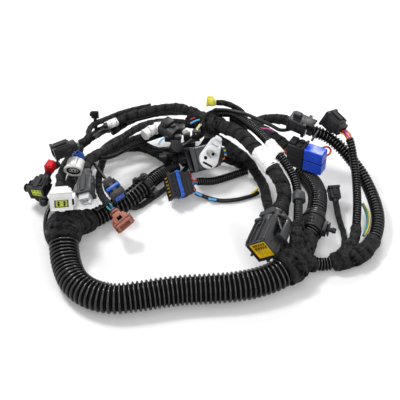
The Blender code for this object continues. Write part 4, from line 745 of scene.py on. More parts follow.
# a near-black finish, mostly for boxes and sheets set in hollows, holes, slots and gaps, where it is painted shade
trimFinishes["recess"] = mouldedMaterial("recessShadow", (0.0025, 0.0025, 0.003), (0.6, 0.75), 0.2, 200, shine=0.1)
trimFinishes["contact"] = mouldedMaterial("brassContact", (0.6, 0.36, 0.06), (0.22, 0.34), 0.1, 300)
trimFinishes["seal"] = mouldedMaterial("paleSeal", (0.62, 0.6, 0.55), (0.45, 0.6), 0.3, 200)
trimFinishes["pinShade"] = mouldedMaterial("pinShade", (0.28, 0.14, 0.002), (0.34, 0.46), 0.2, 90)
# lighter than the conduit's black: a painted highlight on the slit's lips
trimFinishes["slitHighlight"] = mouldedMaterial("slitHighlight", (0.09, 0.09, 0.095), (0.14, 0.24), 0.1, 300, shine=0.6)

# small forms on the plugs: boxes as low and high on each axis with an edge radius, rods as two ends and radii;
# black where no finish is named
plugDetails = {
    "ecuPlugTrim": {"on": "ecu_plug", "boxes": [
        (61.8, 64.7, -12.8, 12.8, 11.4, 12.8, .3), (61.8, 64.7, -12.8, 12.8, -12.8, -11.4, .3),
        (61.8, 64.7, 11.4, 12.8, -12.8, 12.8, .3), (61.8, 64.7, -12.8, -11.4, -12.8, 12.8, .3),
        (27, 62, 7.6, 12.2, 11.4, 13.4, .6), (30, 62, -12.7, -10.6, 11.2, 14.0, .4),
        (27, 31, -12.7, -3.4, 11.6, 15.6, .7), (31, 37, -5.4, -3.4, 11.6, 14.4, .4),
        (27, 62, 11.4, 13.2, 7.0, 12.0, .6), (44, 62, 11.4, 13.0, -11.6, -7.4, .4),
            (50, 62, 11.4, 12.8, 1.6, 3.4, .3),
        (19, 24, 11, 18.6, -9, 6, .9), (24, 26, 12, 20, -3.4, -1.4, .4), (19, 47, 18.2, 20.4, -9.4, -7.6, .5),
        (60, 66.4, -14.8, -12.4, -2.2, .2, .5), (60, 66.0, -2.6, .2, -15.2, -12.4, .5)],
        "rods": [(12.2, 0, 1.2, 27, 0, 1.2, 12.9), (27, 0, 1.2, 32, 0, 1.2, 12.9, 10.4),
                 (26, 12, 8, 44, 19.4, -2, 1.4), (22, 12, 9, 22, 19, 3, 1.5)]},
    "ecuPlugHollow": {"on": "ecu_plug", "finish": "recess", "boxes": [
        (33, 47, 11.6, 12.25, -6.4, 5.2, .1), (14.2, 26, 12.7, 13.2, 5.6, 7.4, .1),
            (31.5, 36, -3.0, 1.0, 11.4, 11.95, .1)]},
    "ecuHolderFace": {"on": "ecu_plug", "finish": "holder_yellow", "boxes": [
        (60.0, 61.6, -9.2, 9.2, -9.0, 9.0, .4)]},
    "ecuPins": {"on": "ecu_plug", "finish": "pinShade", "boxes": [
        (61, 63.4, y - .6, y + .6, z - 1.5, z + 1.5, .25) for y in (-6.2, -3.1, 0, 3.1, 6.2) for z in (2.0, 6.4)]},
    "ecuBootRings": {"on": "ecu_plug", "finish": "boot_rubber", "rods": [
        (-2.5, 0, 0, .5, 0, 0, 9.4), (3.4, 0, 0, 4.8, 0, 0, 10.8), (7.4, 0, 0, 8.8, 0, 0, 11.4)]},
    "leverPlugTrim": {"on": "lever_plug", "boxes": [
        (1.2, 6.2, -11.4, 11.4, -7.4, 7.4, 1.2), (8, 33, 13.3, 14.5, -6.2, -3.8, .4),
            (8, 33, 13.3, 14.5, 3.8, 6.2, .4),
        (8, 33, -14.5, -13.3, -6.2, -3.8, .4), (8, 33, -14.5, -13.3, 3.8, 6.2, .4),
            (31.6, 33, -13.6, 13.6, 8.7, 9.4, .2),
        (5.4, 7.0, -10, 10, 8.7, 9.6, .2)],
        "rods": [(-3, 0, 0, 4, 0, 0, 6.6)]},
    "leverSlots": {"on": "lever", "finish": "recess", "rides": "lever", "boxes": [
        (-8.4, -6.0, -6.0, 4.4, 12.3, 13.22, .1), (12.6, 13.3, -4.6, 4.6, 11.6, 12.2, .05),
        (16.6, 17.3, -4.2, 4.2, 11.6, 12.2, .05)],
        "rods": [(-1.4, 4.6, 12.6, -1.4, 4.6, 13.22, 2.2), (-7.2, -6.0, 12.6, -7.2, -6.0, 13.22, 1.2),
                 (-7.2, 4.4, 12.6, -7.2, 4.4, 13.22, 1.2), (6.4, -1.6, 11.0, 6.4, -1.6, 13.22, 2.0)]},
    "leverTab": {"on": "lever", "finish": "lever_grey", "rides": "lever", "boxes": [
        (23.6, 28.4, -3.6, 3.6, 10.4, 13.6, .6), (14.6, 22.4, -6.9, -5.3, 11.6, 13.0, .4),
        (14.6, 22.4, 5.3, 6.9, 11.6, 13.0, .4)],
        "rods": [(0, 0, 11.7, 0, 0, 13.1, 10.9, 10.5), (8, 0, 11.7, 8, 0, 13.1, 8.2, 7.8)]},
    "widePlugTrim": {"on": "wide_plug", "boxes": [
        (-1.4, 5.4, -12.6, 12.6, -5.2, 6.0, .8), (6.2, 9.0, -13.2, 13.2, 6.1, 7.1, .3),
        (20.2, 21.4, -13.2, 13.2, 6.1, 7.4, .3), (5.6, 10.6, 13.6, 15.0, -4, 3, .4),
            (5.6, 10.6, -15.0, -13.6, -4, 3, .4)]},
    "widePlugStrip": {"on": "wide_plug", "finish": "lock_blue", "rides": "wide_lock", "boxes": [
        (12.3, 16.3, -14.9, 14.9, 6.5, 8.1, .5), (12.3, 16.3, 14.1, 15.3, -4.6, 8.0, .4),
        (12.3, 16.3, -15.3, -14.1, -4.6, 8.0, .4), (11.6, 17.0, 12.6, 14.8, 6.6, 8.7, .4),
            (11.6, 17.0, -14.8, -12.6, 6.6, 8.7, .4)]},
    "widePlugContacts": {"on": "wide_plug", "finish": "contact", "boxes": [
        (20.8, 26.6, y - .7, y + .7, z - .8, z + .8, .15) for y in (-10, -6, -2, 2, 6, 10) for z in (-2.4, 2.2)]},
    "widePlugFace": {"on": "wide_plug", "finish": "recess", "boxes": [(20.4, 22.6, -12.1, 12.1, -4.6, 4.6, .1)]},
    "whitePlugTrim": {"on": "white_plug", "finish": "housing_white", "boxes": [
        (5.4, 25.8, -7.6, 7.6, 8.4, 10.6, 1.6), (8, 27.2, 10.0, 14.4, -6.2, 3.6, 1.2),
            (6, 20, -11.7, -10.1, -5, 4, .6),
        (25.2, 27.8, -11.9, 11.9, 8.6, 9.9, .5), (25.2, 27.8, -11.9, 11.9, -9.9, -8.6, .5),
        (25.2, 27.8, -11.9, -10.2, -9.9, 9.9, .5), (20, 27.4, -3, 3, -11.2, -8.8, .6)],
        "rods": [(.5, 0, 0, 4.4, 0, 0, 7.4)]},
    "whitePlugBezel": {"on": "white_plug", "finish": "housing_white", "boxes": [
        (24.6, 28.0, -9.6, 9.6, 1.4, 8.6, 1.2), (24.8, 27.4, -9.4, 9.4, -8.6, -6.6, .6),
        (24.8, 27.4, -9.6, -7.2, -8, 4, .6), (24.8, 27.4, 7.2, 9.6, -8, 4, .6)]},
    "whitePlugShadow": {"on": "white_plug", "finish": "recess", "boxes": [
        (24.6, 26.0, -7.3, -6.1, -6.6, 1.5, .1), (24.6, 26.0, 6.1, 7.3, -6.6, 1.5, .1),
            (24.6, 26.0, -6.4, 6.4, -6.8, -6.0, .1),
        (24.6, 26.0, -6.4, 6.4, .7, 1.5, .1)]},
    "whitePlugHoles": {"on": "white_plug", "finish": "recess", "boxes": [
        (24.6, 27.35, 11.2, 13.4, -4.6, 2.2, .2)] + [
        (24.2, 26.3, y - .9, y + .9, z - .8, z + .8, .15) for y in (-3, 3) for z in (-4.3, -1.3)]},
    "blackPlugTrim": {"on": "black_plug", "boxes": [
        (6, 24, -9.9, -8.7, -4.6, -2.4, .3), (6, 24, 8.7, 9.9, -4.6, -2.4, .3), (6, 17, -6.4, -4.2, 7.2, 8.8, .4),
        (6, 17, 4.2, 6.4, 7.2, 8.8, .4), (18.4, 20.2, -7, 7, 7.2, 9.2, .3), (-1, 5.4, -6.6, 6.6, -5.4, 5.4, 1.4)],
        "rods": [(10, -9, -1, 10, -17, -1, 1.9), (10, -12, -1, 10, -13.4, -1, 5.2, 3.4),
            (10, -15, -1, 10, -16.4, -1, 4.2, 2.6)]},
    "greyPlugTrim": {"on": "grey_plug", "finish": "housing_grey", "boxes": [
        (8, 30, -1.8, 1.8, 6.6, 8.8, .5), (8, 30, -6.6, -4.6, 6.6, 7.9, .3), (8, 30, 4.6, 6.6, 6.6, 7.9, .3),
        (6.6, 31, 7.6, 8.8, -1.4, 1.4, .3), (6.6, 31, -8.8, -7.6, -1.4, 1.4, .3),
            (29.4, 32.4, -9.1, 9.1, -8.1, -6.8, .4)],
        "rods": [(-3, 0, 0, 2, 0, 0, 5.6)]},
    "greyPlugFace": {"on": "grey_plug", "finish": "seal", "boxes": [(32, 33.2, -7.2, -3.2, 1.0, 5.0, .5)]},
    "greyPlugTab": {"on": "grey_plug", "finish": "lock_clear", "boxes": [
        (36.5, 42.5, -2.6, 5.8, -2.6, -.6, .6), (38.5, 43.2, 3.6, 6.6, -3.4, 1.2, .6)]},
    "bandPlugTrim": {"on": "band_plug", "boxes": [
        (-1, 4.4, -5.6, 5.6, -4.4, 4.4, .9), (5.4, 10.4, -6.8, 6.8, 5.6, 7.2, .4), (6.6, 7.6, -7, 7, 6.8, 7.9, .2),
        (8.8, 9.8, -7, 7, 6.8, 7.9, .2)]},
    "bandPlugBand": {"on": "band_plug", "finish": "lock_blue", "rides": "band_lock", "boxes": [
        (12.6, 16.6, -8.7, 8.7, -7.2, 9.2, 1.0)]},
    "bandPlugFront": {"on": "band_plug", "boxes": [
        (19.6, 26.6, -8.2, 8.2, 6.2, 8.4, .6), (19.6, 26.6, -8.2, 8.2, -7.4, -6.0, .4),
            (19.6, 26.6, 7.2, 8.6, -7.2, 8.2, .4),
        (19.6, 26.6, -8.6, -7.2, -7.2, 8.2, .4), (22, 26.0, -7.4, 7.4, 2.2, 6.4, .4)]},
    "flatPlugTrim": {"on": "flat_plug", "boxes": [
        (-2, 4.4, -6.6, 6.6, -4.2, 4.2, .9), (6, 22, -7.6, -6.2, 5.6, 7.4, .3), (6, 22, 6.2, 7.6, 5.6, 7.4, .3),
        (8, 14, -9.9, -8.2, -3, 3, .4), (24.4, 26.8, -2.2, 2.2, 5.4, 8.8, .4), (6, 12, 7.8, 10.6, -3.4, 1, .5)]},
    "sensorPlugTrim": {"on": "sensor_plug", "boxes": [
        (-1, 5, -7.6, 7.6, -6.4, 6.4, 1.2), (6, 23.4, -8.2, -6.6, 7.6, 9.4, .4), (6, 23.4, 6.6, 8.2, 7.6, 9.4, .4),
        (5, 7, -9.9, 9.9, -8.4, 8.4, .5)]},
    "sensorPlugRear": {"on": "sensor_plug", "finish": "recess", "boxes": [(-1.5, -.9, -5.8, 5.8, -4.4, 4.4, .1)]},
    "clipPlugTrim": {"on": "clip_plug", "boxes": [
        (5, 17, -6.9, -5.1, -2.2, 2.2, .4), (5, 17, 5.1, 6.9, -2.2, 2.2, .4), (9, 15, -2, 2, 4.6, 7.4, .4),
        (15.4, 18.4, -5.2, -2.2, 4.4, 7.2, .4), (15.4, 18.4, 2.2, 5.2, 4.4, 7.2, .4)]},
    "yellowPlugTrim": {"on": "yellow_plug", "finish": "plug_yellow", "boxes": [
        (3, 8, -1.6, 1.6, 4.2, 5.8, .4), (3.2, 9.6, 4.6, 5.8, -2.2, 2.2, .4), (3.2, 9.6, -5.8, -4.6, -2.2, 2.2, .4)]},
    "yellowPlugHoles": {"on": "yellow_plug", "finish": "recess", "rods": [
        (7.4, -1.9, 0, 11.16, -1.9, 0, 1.15), (7.4, 1.9, 0, 11.16, 1.9, 0, 1.15)]},
    "yellowPlugFront": {"on": "yellow_plug", "finish": "plug_yellow", "boxes": [(7.8, 11.0, -3.5, 3.5, -3.0, 3.0,
        .4)]},
    "ovalPlugTrim": {"on": "oval_plug", "finish": "plug_blue", "boxes": [
        (1, 10.6, -6.8, -5.7, -2, 2, .3), (1, 10.6, 5.7, 6.8, -2, 2, .3), (7.6, 11.4, -3.4, 3.4, 4.6, 7.6, .5)]},
    "ovalPlugHollow": {"on": "oval_plug", "finish": "recess", "boxes": [(3, 8, -1.2, 1.2, 6.0, 7.1, .1)]},
    "redCapTrim": {"on": "red_cap", "finish": "cap_red", "boxes": [
        (-5.4, -3.2, -4.2, 4.2, 9.4, 12.2, .5), (-1.4, .6, -5.6, 5.6, 4, 9, .4),
            (3.0, 5.4, -3.0, 3.0, 10.8, 12.4, .4)]},
    "injectorTrim": {"on": "injector_plug", "finish": "plug_terracotta", "boxes": [
        (12, 20.4, -4.2, -2.9, 6.6, 7.8, .3), (12, 20.4, 2.9, 4.2, 6.6, 7.8, .3),
            (11.6, 12.8, -4.2, 4.2, 6.6, 7.8, .3),
        (16.6, 23.6, 7.8, 11.2, -5.4, -3.2, .4), (16.6, 23.6, -11.2, -7.8, -5.4, -3.2, .4),
            (10.6, 14, -10.6, -7.6, -2.6, 2.6, .5),
        (22.2, 23.6, -9.2, 9.2, 6.6, 8.4, .4)],
        "rods": [(19, -8.4, 5.6, 19, 8.4, 5.6, .9)]},
    "injectorRing": {"on": "injector_plug", "finish": "boot_rubber", "rods": [(1.2, 0, 0, 2.4, 0, 0, 6.1),
        (5.0, 0, 0, 6.2, 0, 0, 5.4)]},
    "injectorWindow": {"on": "injector_plug", "finish": "recess", "boxes": [(12.8, 16.9, -2.7, 2.7, 4.2, 5.2, .1)]},
    "relaySocketTrim": {"on": "relay_bank", "boxes": [
        (5, 21, -9.5, -8.3, -12, -9.6, .4), (5, 21, -9.5, -8.3, 9.6, 12, .4), (5, 21, -9.3, -8.3, -1.2, 1.2, .3),
        (20.8, 23.4, -8.8, 8.8, 14.2, 16.4, .5), (4, 12, -6, 6, 14.6, 18.2, .7), (14, 19, -7.4, -2.4, 14.6, 17.4, .5),
        (14, 19, 1.4, 6.4, 14.6, 17.0, .5)]},
    "relayGap": {"on": "relay_bank", "finish": "recess", "boxes": [(23.4, 46.2, -7.2, 7.2, -.35, .35, .1)]},
    "secondPlugTrim": {"on": "second_plug", "boxes": [
        (1.6, 20, -23.8, -22.6, 11, 16, .4), (5, 19, -20.5, -6, 20.6, 22.4, .7),
            (21, 23.6, -23.9, -2.1, 5.4, 7.2, .5)]},
    "secondPlugSlit": {"on": "second_plug", "finish": "whiteWire", "boxes": [(12.6, 13.6, -24.0, -23.3, 8.6, 17.6,
        .2)]},
    "ovalSocketTrim": {"on": "oval_socket", "boxes": [
        (10, 21, -6.4, 6.4, 7.6, 12.4, .8), (12, 19, -8.6, -5.6, 7, 10.6, .5), (22, 26, -3, 3, 7.8, 10.4, .5)],
        "rods": [(28.6, 0, 0, 29.4, 0, 0, .6)]},
    "conduitClipTrim": {"on": "conduit_clip", "boxes": [
        (-4.2, 4.2, -13.6, -11.4, -6, 6, .5), (-3, 3, 11.2, 15.4, -2.4, 5.2, .6)],
        "rods": [(0, 0, 15.4, 0, 0, 18.2, 2.6)]},
    "clampTrim": {"on": "conduit_clamp", "boxes": [
        (-7.4, 7.4, -16.4, -12.2, 3.4, 5.0, .4), (-7.4, 7.4, -16.4, -12.2, -5.0, -3.4, .4)],
        "rods": [(0, -17.2, 0, 0, -19.0, 0, 6.4, 8.2), (0, -22.2, 0, 0, -26.4, 0, 3.4, 2.8),
            (0, -19.0, 0, 0, -22.2, 0, 2.4)]},
    "clampLattice": {"on": "conduit_clamp", "finish": "recess", "boxes": [
        (-6.4, -5.2, -2.8, 5.4, 11.6, 12.68, .1), (-1.8, -.6, -2.8, 4.6, 11.6, 12.68, .1),
            (3.2, 4.2, -1.8, 4.6, 11.6, 12.68, .1),
        (-5.4, -1.2, 1.0, 1.8, 11.6, 12.7, .1), (-.8, 3.6, -1.2, -.4, 11.6, 12.7, .1)]},
    "secondSleeveCollar": {"on": "object", "finish": "housing_grey", "rods": [
        (101.6, -10.5, 47.2, 101.3, -20.5, 45.0, 7.0, 7.2)]},
    "paddleClip": {"on": "object", "boxes": [
        (-131.5, -122.5, 111, 113.6, 56, 66, .9), (-129, -125, 109.5, 112, 38, 57, .8),
            (-133, -129, 110, 114, 60, 64, .8),
        (-121, -110, 104, 111, 40, 46, 1.0), (-118, -113, 106, 112, 45, 50, .8)]},
    "blackPlugClips": {"on": "black_plug", "rods": [
        (18, -8, 0, 18, -19, 0, 2.2), (18, -12, 0, 18, -14.4, 0, 6.2, 4.6), (18, -16, 0, 18, -18, 0, 5.2, 3.6),
        (25, 8, -3, 36, 13, -3, 2.0), (31, 11, -3, 33.4, 12, -3, 5.6, 4.2), (36, 13, -3, 38.6, 14, -3, 5.0, 3.2)]},
    "blackPlugStud": {"on": "black_plug", "rods": [
        (22, -1, -7, 22, -1, -14, 2.0), (22, -1, -9.4, 22, -1, -10.8, 5.6, 3.6),
            (22, -1, -12.4, 22, -1, -13.8, 4.4, 2.8)],
        "boxes": [(14, 24, -5, 4, -9, -7.2, .5)]},
    "clusterBlocks": {"on": "object", "boxes": [
        (-39, -27, 88, 97, 30, 41, 1.2), (-27, -17, 80, 89, 26, 36, 1.0), (-33, -22, 100, 110, 40, 50, 1.0),
        (-14, -5, 96, 105, 34, 44, .8), (-24, -16, 92, 99, 38, 47, .8), (-48, -36, 79, 85, 24, 30, 1.0)]},
    "clusterShroud": {"on": "object", "boxes": [
        (-52, -43, 70, 78, 25, 32, 1.2), (-46, -35, 92, 99, 36, 44, 1.0), (-20, -10, 86, 94, 30, 40, 1.0),
        (-12, -2, 76, 84, 26, 34, 1.0), (-30, -21, 72, 80, 20, 28, 1.0), (0, 9, 92, 100, 34, 43, 1.0)],
        "rods": [(-36, 84, 33, -31, 79, 41, 6.0, 7.6), (-16, 76, 24, -10, 74, 30, 5.0, 5.6)]},
    "clusterGrey": {"on": "object", "finish": "housing_grey", "boxes": [
        (-34, -26, 90, 96, 41, 46, .8), (-13, -4, 97, 104, 44, 47.5, .6), (18, 31, 78, 92, 26, 29, .8)]},
    "clusterSeal": {"on": "object", "finish": "seal", "rods": [(-22.2, 99, 46, -20.6, 95.4, 47.6, 3.6)]},
}


def buildPlugDetails():
    for name, values in plugDetails.items():
        fitted(name, values["on"], values.get("finish", "housing_black"), values.get("boxes", ()),
            values.get("rods", ()),
               values.get("rides", "harness"))
    print("plug details fitted:", len(plugDetails))


# coloured wires between the end of a bundle's wrap and its plug: how much of the wrap is left off, in mm,
# how far in the plug they reach, how wide they fan out, and their colours
fanOuts = {
    "inner_conduit": {"trim": 13, "to": "sensor_plug", "reach": 2, "fan": 9, "wire": 0.95,
                      "colours": ["pink", "orange", "pink", "orange", "red", "yellow"]},
    "injector_branch": {"trim": 8, "to": "injector_plug", "reach": 2, "fan": 3, "wire": 1.1, "colours": ["teal",
        "teal", "blue"]},
    "centre_cable": {"trim": 9, "to": "wide_plug", "reach": 0, "fan": 20, "wire": 0.95,
                     "colours": ["red", "pink", "red", "teal", "blue", "sky", "red"]},
    "socket_bundle": {"trim": 13, "to": "relay_bank", "reach": 3, "fan": 11, "wire": 1.15,
                      "colours": ["red", "yellow", "orange", "white", "red", "red", "orange"]},
    "band_plug_lead": {"trim": 3, "to": "band_plug", "reach": 1, "fan": 2, "wire": 0.8, "colours": ["orange",
        "white"]},
    "black_plug_branch": {"trim": 3, "to": "black_plug", "reach": 1, "fan": 6, "wire": 0.9,
                          "colours": ["orange", "red", "green", "yellow"]},
    "third_arc": {"trim": 5, "to": "flat_plug", "reach": 1, "fan": 8, "wire": 0.85, "colours": ["red", "white",
        "green", "yellow"]},
    "under_branch": {"trim": 7, "to": "lever_plug", "reach": 0, "fan": 14, "wire": 1.0,
                     "colours": ["red", "green", "yellow", "blue", "white", "red", "orange"]},
}


def fanWires(bundle, path, values):
    frame = frameOf(values["to"])
    count = len(values["colours"])
    start = path[-1]
    heading = Vector(path[-1] - path[-3]).normalized()
    side = heading.cross(Vector((0, 0, 1))).normalized()
    lift = side.cross(heading)
    for index, colour in enumerate(values["colours"]):
        turn = 2 * math.pi * index / count
        ring = 0.55 * radii[bundle] * mm
        root = Vector(start) + side * ring * math.cos(turn) + lift * ring * math.sin(turn)
        y = (index / max(1, count - 1) - 0.5) * values["fan"]
        end = frame @ (Vector((values["reach"], y, 1.1 * (-1)**index)) * mm)
        gap = (end - root).length
        points = [root - heading * 3 * mm, root, root + heading * gap * 0.35 + side * 0.6 * mm * math.cos(turn * 2),
                  end - frame.col[0].to_3d() * gap * 0.3, end, end + frame.col[0].to_3d() * 2 * mm]
        strand("%sWire%d" % (bundle.replace("_", ""), index), smoothPath(np.array(points) / mm), values["wire"],
               colour + "Wire")


# single wires seen between the bundles, in mm on the object: colour, radius and route
looseWires = {
    "loopSkyA": ("sky", 1.5, [(-11.5, 33.5, 10.5), (-7, 31, 10.2), (-2.5, 29.2, 9)]),
    "loopSkyB": ("sky", 1.3, [(5, 27, 6.6), (9.5, 26.2, 5.9), (14, 25.8, 5.5)]),
    "loopYellow": ("yellow", 1.2, [(54.5, 35.8, 6.6), (58.5, 38.4, 8), (62, 41, 9.2)]),
    "tealArc": ("teal", 1.3, [(176.1, 9.5, 14), (178.9, -2, 13), (179.3, -14, 12.5), (177.0, -26, 12),
        (171.5, -39, 11.5)]),
    "yellowArc": ("yellow", 0.9, [(177.4, 10, 15), (180.8, -2, 14), (181.3, -14, 13.5), (179.0, -26, 13),
        (173.2, -39, 12)]),
    "blueRiser": ("blue", 1.2, [(-26, 54, 12), (-24.5, 47, 15), (-21.5, 41, 17), (-17.5, 37, 17.5)]),
    "skyStrandA": ("sky", 0.9, [(-53, 87, 37), (-50, 90.5, 40), (-46, 92.5, 42), (-42.5, 95, 43)]),
    "skyStrandB": ("sky", 1.1, [(-16, 111, 49), (-9, 113.5, 51.5), (-2, 114.5, 52), (4, 113, 51)]),
    "yellowStrand": ("yellow", 0.9, [(-12, 98, 44), (-8, 104, 48), (-4.5, 109, 50), (0, 113, 50)]),
    "whiteStrand": ("white", 0.9, [(-10, 97, 44), (-6.5, 103.5, 48.5), (-2.5, 108, 50.5), (3, 111, 50)]),
    "pinkStrand": ("pink", 1.0, [(63, 92, 57), (69, 90.5, 57.5), (75, 90, 57), (80, 88, 55)]),
    "redBack": ("red", 1.1, [(134, 66, 49), (140, 65, 51), (143, 62, 50), (142, 58, 47), (138, 56, 45)]),
    "redStrip": ("red", 0.8, [(-16, 118, 50), (-8, 119, 52), (2, 118, 52), (10, 116, 51)]),
}


def buildLooseWires():
    for name, (colour, radius, points) in looseWires.items():
        strand(name, smoothPath(points), radius, colour + "Wire")
    print("loose wires laid:", len(looseWires))


# further bundles that only show: look, radius and route in mm on the object
extraBundles = {
    "clusterBand": ("taped", 4.4, [(-90.0, 107.3, 26.0), (-75.9, 107.2, 23.0), (-63.9, 101.5, 20.0),
        (-49.6, 95.9, 18.5), (-35.4, 94.6, 18.0), (-23.6, 98.4, 18.0), (-13.0, 102.8, 19.0)]),
    "clusterArm": ("taped", 4.8, [(-9.4, 115.5, 42.0), (2.3, 107.2, 41.0), (14.0, 97.1, 40.0), (25.5, 87.8, 38.5),
        (36.8, 77.4, 36.5), (48.1, 67.1, 33.0)]),
    "backStrand": ("taped", 3.6, [(-108.8, 112.4, 34.0), (-95.3, 125.3, 36.0), (-81.4, 135.1, 37.5),
        (-64.8, 141.7, 38.5), (-46.9, 145.1, 39.0), (-28.8, 145.4, 39.5), (-11.9, 143.7, 40.0), (1.3, 139.4, 41.0)]),
    "parallelCable": ("taped", 3.0, [(-86, 15, 9.5), (-80, 13.5, 5), (-72.5, 17.5, 3.6), (-64, 25.5, 3.6),
        (-56, 33.5, 3.8), (-48, 42.5, 4.2), (-40.5, 52, 4.6),
                                     (-33, 61, 4.8), (-26, 71, 5.6), (-20, 81, 8), (-15, 90, 11)]),
    "leftLoop": ("sheath", 2.3, [(-164.8, 4, 22), (-169.5, -3, 21), (-172.6, -11, 18.5), (-173.6, -20.8, 14.5),
        (-172.4, -31, 10),
                                 (-169, -42, 8.5), (-163, -52, 9)]),
    "arcPair": ("sheath", 2.5, [(-22, 140, 42.5), (-40, 141.8, 42), (-54, 139.5, 41.6), (-68, 134.5, 41),
        (-82, 129.5, 40.5),
                                (-95, 124, 40), (-107, 116.5, 40.5), (-117, 107, 42.5), (-124, 96, 45.5),
                                    (-127, 85, 48)]),
    "arcStrand": ("sheath", 2.8, [(-22, 118.5, 33), (-36, 117.5, 31.5), (-50, 112.5, 31), (-63, 105, 31.5),
        (-75, 96, 33),
                                  (-86, 86, 34.5), (-95, 75, 36), (-103.5, 64, 39), (-111, 55, 43.5),
                                      (-118, 48.5, 49)]),
    "leftThick": ("taped", 4.6, [(-160.8, 0, 20.5), (-156, 14, 19), (-153.5, 28, 18), (-152, 42, 17.6),
        (-149, 56, 17.6), (-143, 69, 18),
                                 (-134, 81, 19), (-122, 91, 20.5), (-108, 99, 22.5), (-93, 105.5, 25),
                                     (-77, 111, 27.5),
                                 (-60, 116, 30), (-43, 120.5, 33.5), (-27, 123, 37.5), (-14, 122, 42)]),
    "leftStrand": ("sheath", 2.6, [(-147, 30, 29.5), (-143.5, 41, 24.8), (-134, 52, 27), (-127, 62, 33),
        (-119, 72, 40), (-108, 83, 43.5),
                                   (-96, 93, 44), (-83, 103, 43.5), (-70, 112, 42.5), (-57, 118.5, 40.5)]),
    "thinTop": ("sheath", 2.1, [(12, 117, 64.5), (24, 109.5, 70), (36, 101.5, 73.6), (48, 95.5, 74.2),
        (62, 91, 70), (76, 88.5, 64),
                                (88, 87, 58), (98, 90.5, 56.5), (107, 95.5, 56)]),
    "middleBundle": ("taped", 6.2, [(-27, 87, 9.4), (-16, 93.5, 11), (-3, 97.5, 12), (10, 98.5, 11.5),
        (23, 96.5, 10), (34, 92.5, 8.6),
                                    (44, 87, 7.4), (52, 81.5, 7)]),
    "clusterBundleA": ("taped", 4.6, [(-2, 110, 36), (-12, 107, 30), (-21, 102, 25), (-30, 97.5, 21.5),
        (-39, 94.5, 19.5),
                                      (-50, 94, 19), (-61, 98, 20.5)]),
    "clusterBundleB": ("taped", 4.2, [(6, 106, 34), (0, 98, 28), (-8, 91.5, 23), (-17, 87, 19.5),
        (-27, 82.5, 19.8), (-37, 78.5, 20.5)]),
    "clusterBundleC": ("sheath", 2.4, [(-60, 92, 26), (-50, 87, 30), (-41, 84.5, 33), (-31, 83.5, 35),
        (-22, 85.5, 38), (-14, 91, 41)]),
    "rightStrand": ("taped", 6.4, [(33.0, 122.5, 50.0), (46.9, 112.8, 50.0), (60.6, 104.5, 49.0),
        (74.2, 95.1, 47.5), (86.3, 83.9, 46.0), (96.1, 73.6, 44.0)]),
}
extraLook = {"step": 11}


def buildExtraBundles():
    for name, (look, radius, points) in extraBundles.items():
        path = smoothPath(points)
        if look == "sheath":
            obj = sheath(name, path, radius * mm)
        else:
            obj = taped(name, path, radius * mm, extraLook)
        dress(obj, "wire_black" if look == "sheath" else "cloth_tape")
        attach(obj, "harness")
    print("further bundles laid:", len(extraBundles))


# the black seal and the white core inside the mouth of the oval shell: place, half width, half height, radius, finish
ovalRings = {"ovalSeal": (28.2, 7.0, 4.6, 1.0, "recess"), "ovalCoreRim": (29.0, 9.3, 6.6, 0.8, "housing_white")}


def buildOvalSeal():
    frame = frameOf("oval_plug")
    for name, (x, wide, high, thick, finish) in ovalRings.items():
        turns = np.linspace(0, 2 * math.pi, 49)
        ring = np.array([frame @ (Vector((x, wide * math.cos(t), high * math.sin(t))) * mm) for t in turns])
        strand(name, ring, thick, finish)
    fitted("ovalCore", "oval_plug", "housing_white", [(22, 28.0, -6.0, 6.0, -3.6, 3.6, 1.4)])
    fitted("ovalCoreSlots", "oval_plug", "recess", [(27, 28.15, y - 1.0, y + 1.0, -1.2, .8, .2) for y in (-3.6, 0,
        3.6)])


# the slit along the top of the diagonal conduit: two thin lips in a lighter grey than the conduit, a painted
# highlight along the slit
slitValues = {"start": 6, "end": 8, "points": 90, "proud": 0.15, "turns": (0.02, 0.12), "wave": 0.25, "ripple": 2.1,
              "lip": 0.42}


def buildSlit(values):
    path = smoothPath(bundles["diagonal_conduit"])
    length = distances(path)[-1]
    line = pathAt(path, np.linspace(values["start"] * mm, length - values["end"] * mm, values["points"]))
    heading = headings(line)
    side = np.cross(heading, (0.0, 0.0, 1.0))
    side /= np.linalg.norm(side, axis=1)[:, None]
    up = np.cross(side, heading)
    radius = (radii["diagonal_conduit"] + values["proud"]) * mm
    for index, turn in enumerate(values["turns"]):
        lip = line + radius * (up * math.cos(turn) + side * math.sin(turn))
        lip += up * values["wave"] * mm * np.sin(np.arange(len(lip)) * values["ripple"] + index)[:, None]
        strand("slitLip%d" % index, lip, values["lip"], "slitHighlight", 8)


# short wraps of crumpled white tape, and plain black tape collars, along a bundle
patches = {
    "whitePatchCentre": ("tape_white", 6.4, [(-50, 115, 42.5), (-57, 109, 43), (-64, 103, 43), (-70, 97, 42.4)]),
    "whitePatchLeft": ("tape_white", 5.2, [(-103, 121.5, 44.5), (-109, 117, 44), (-115, 111.5, 44.5)]),
    "collarOuter": ("cloth_tape", 8.6, [(171, -59.5, 10.6), (177, -52.5, 11.6), (182.5, -45, 12.4)]),
    "collarInner": ("cloth_tape", 5.9, [(158.5, -51.5, 13.8), (162, -42, 15.6), (164.4, -31, 17.6)]),
    "collarArc": ("cloth_tape", 6.3, [(-36, 140, 50.6), (-28, 137.8, 51), (-21, 135, 50.8)]),
    "collarClamp": ("conduit_black", 11.9, [(119.4, -22.8, 23.1), (120, -20.8, 23.2), (120.6, -18.6, 23.2)]),
}


def buildPatches():
    for name, (finish, radius, points) in patches.items():
        obj = taped(name, smoothPath(points), radius * mm, {"step": 8})
        points = pointsOf(obj)
        normals = normalsOf(obj)
        crumple = 0.9 if finish == "tape_white" else 0.3
        setPoints(obj, points + normals * (crumple * noiseAt(points, 5 * mm, 9.0) * mm)[:, None])
        dress(obj, finish)
        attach(obj, "harness")
    print("patches wrapped:", len(patches))


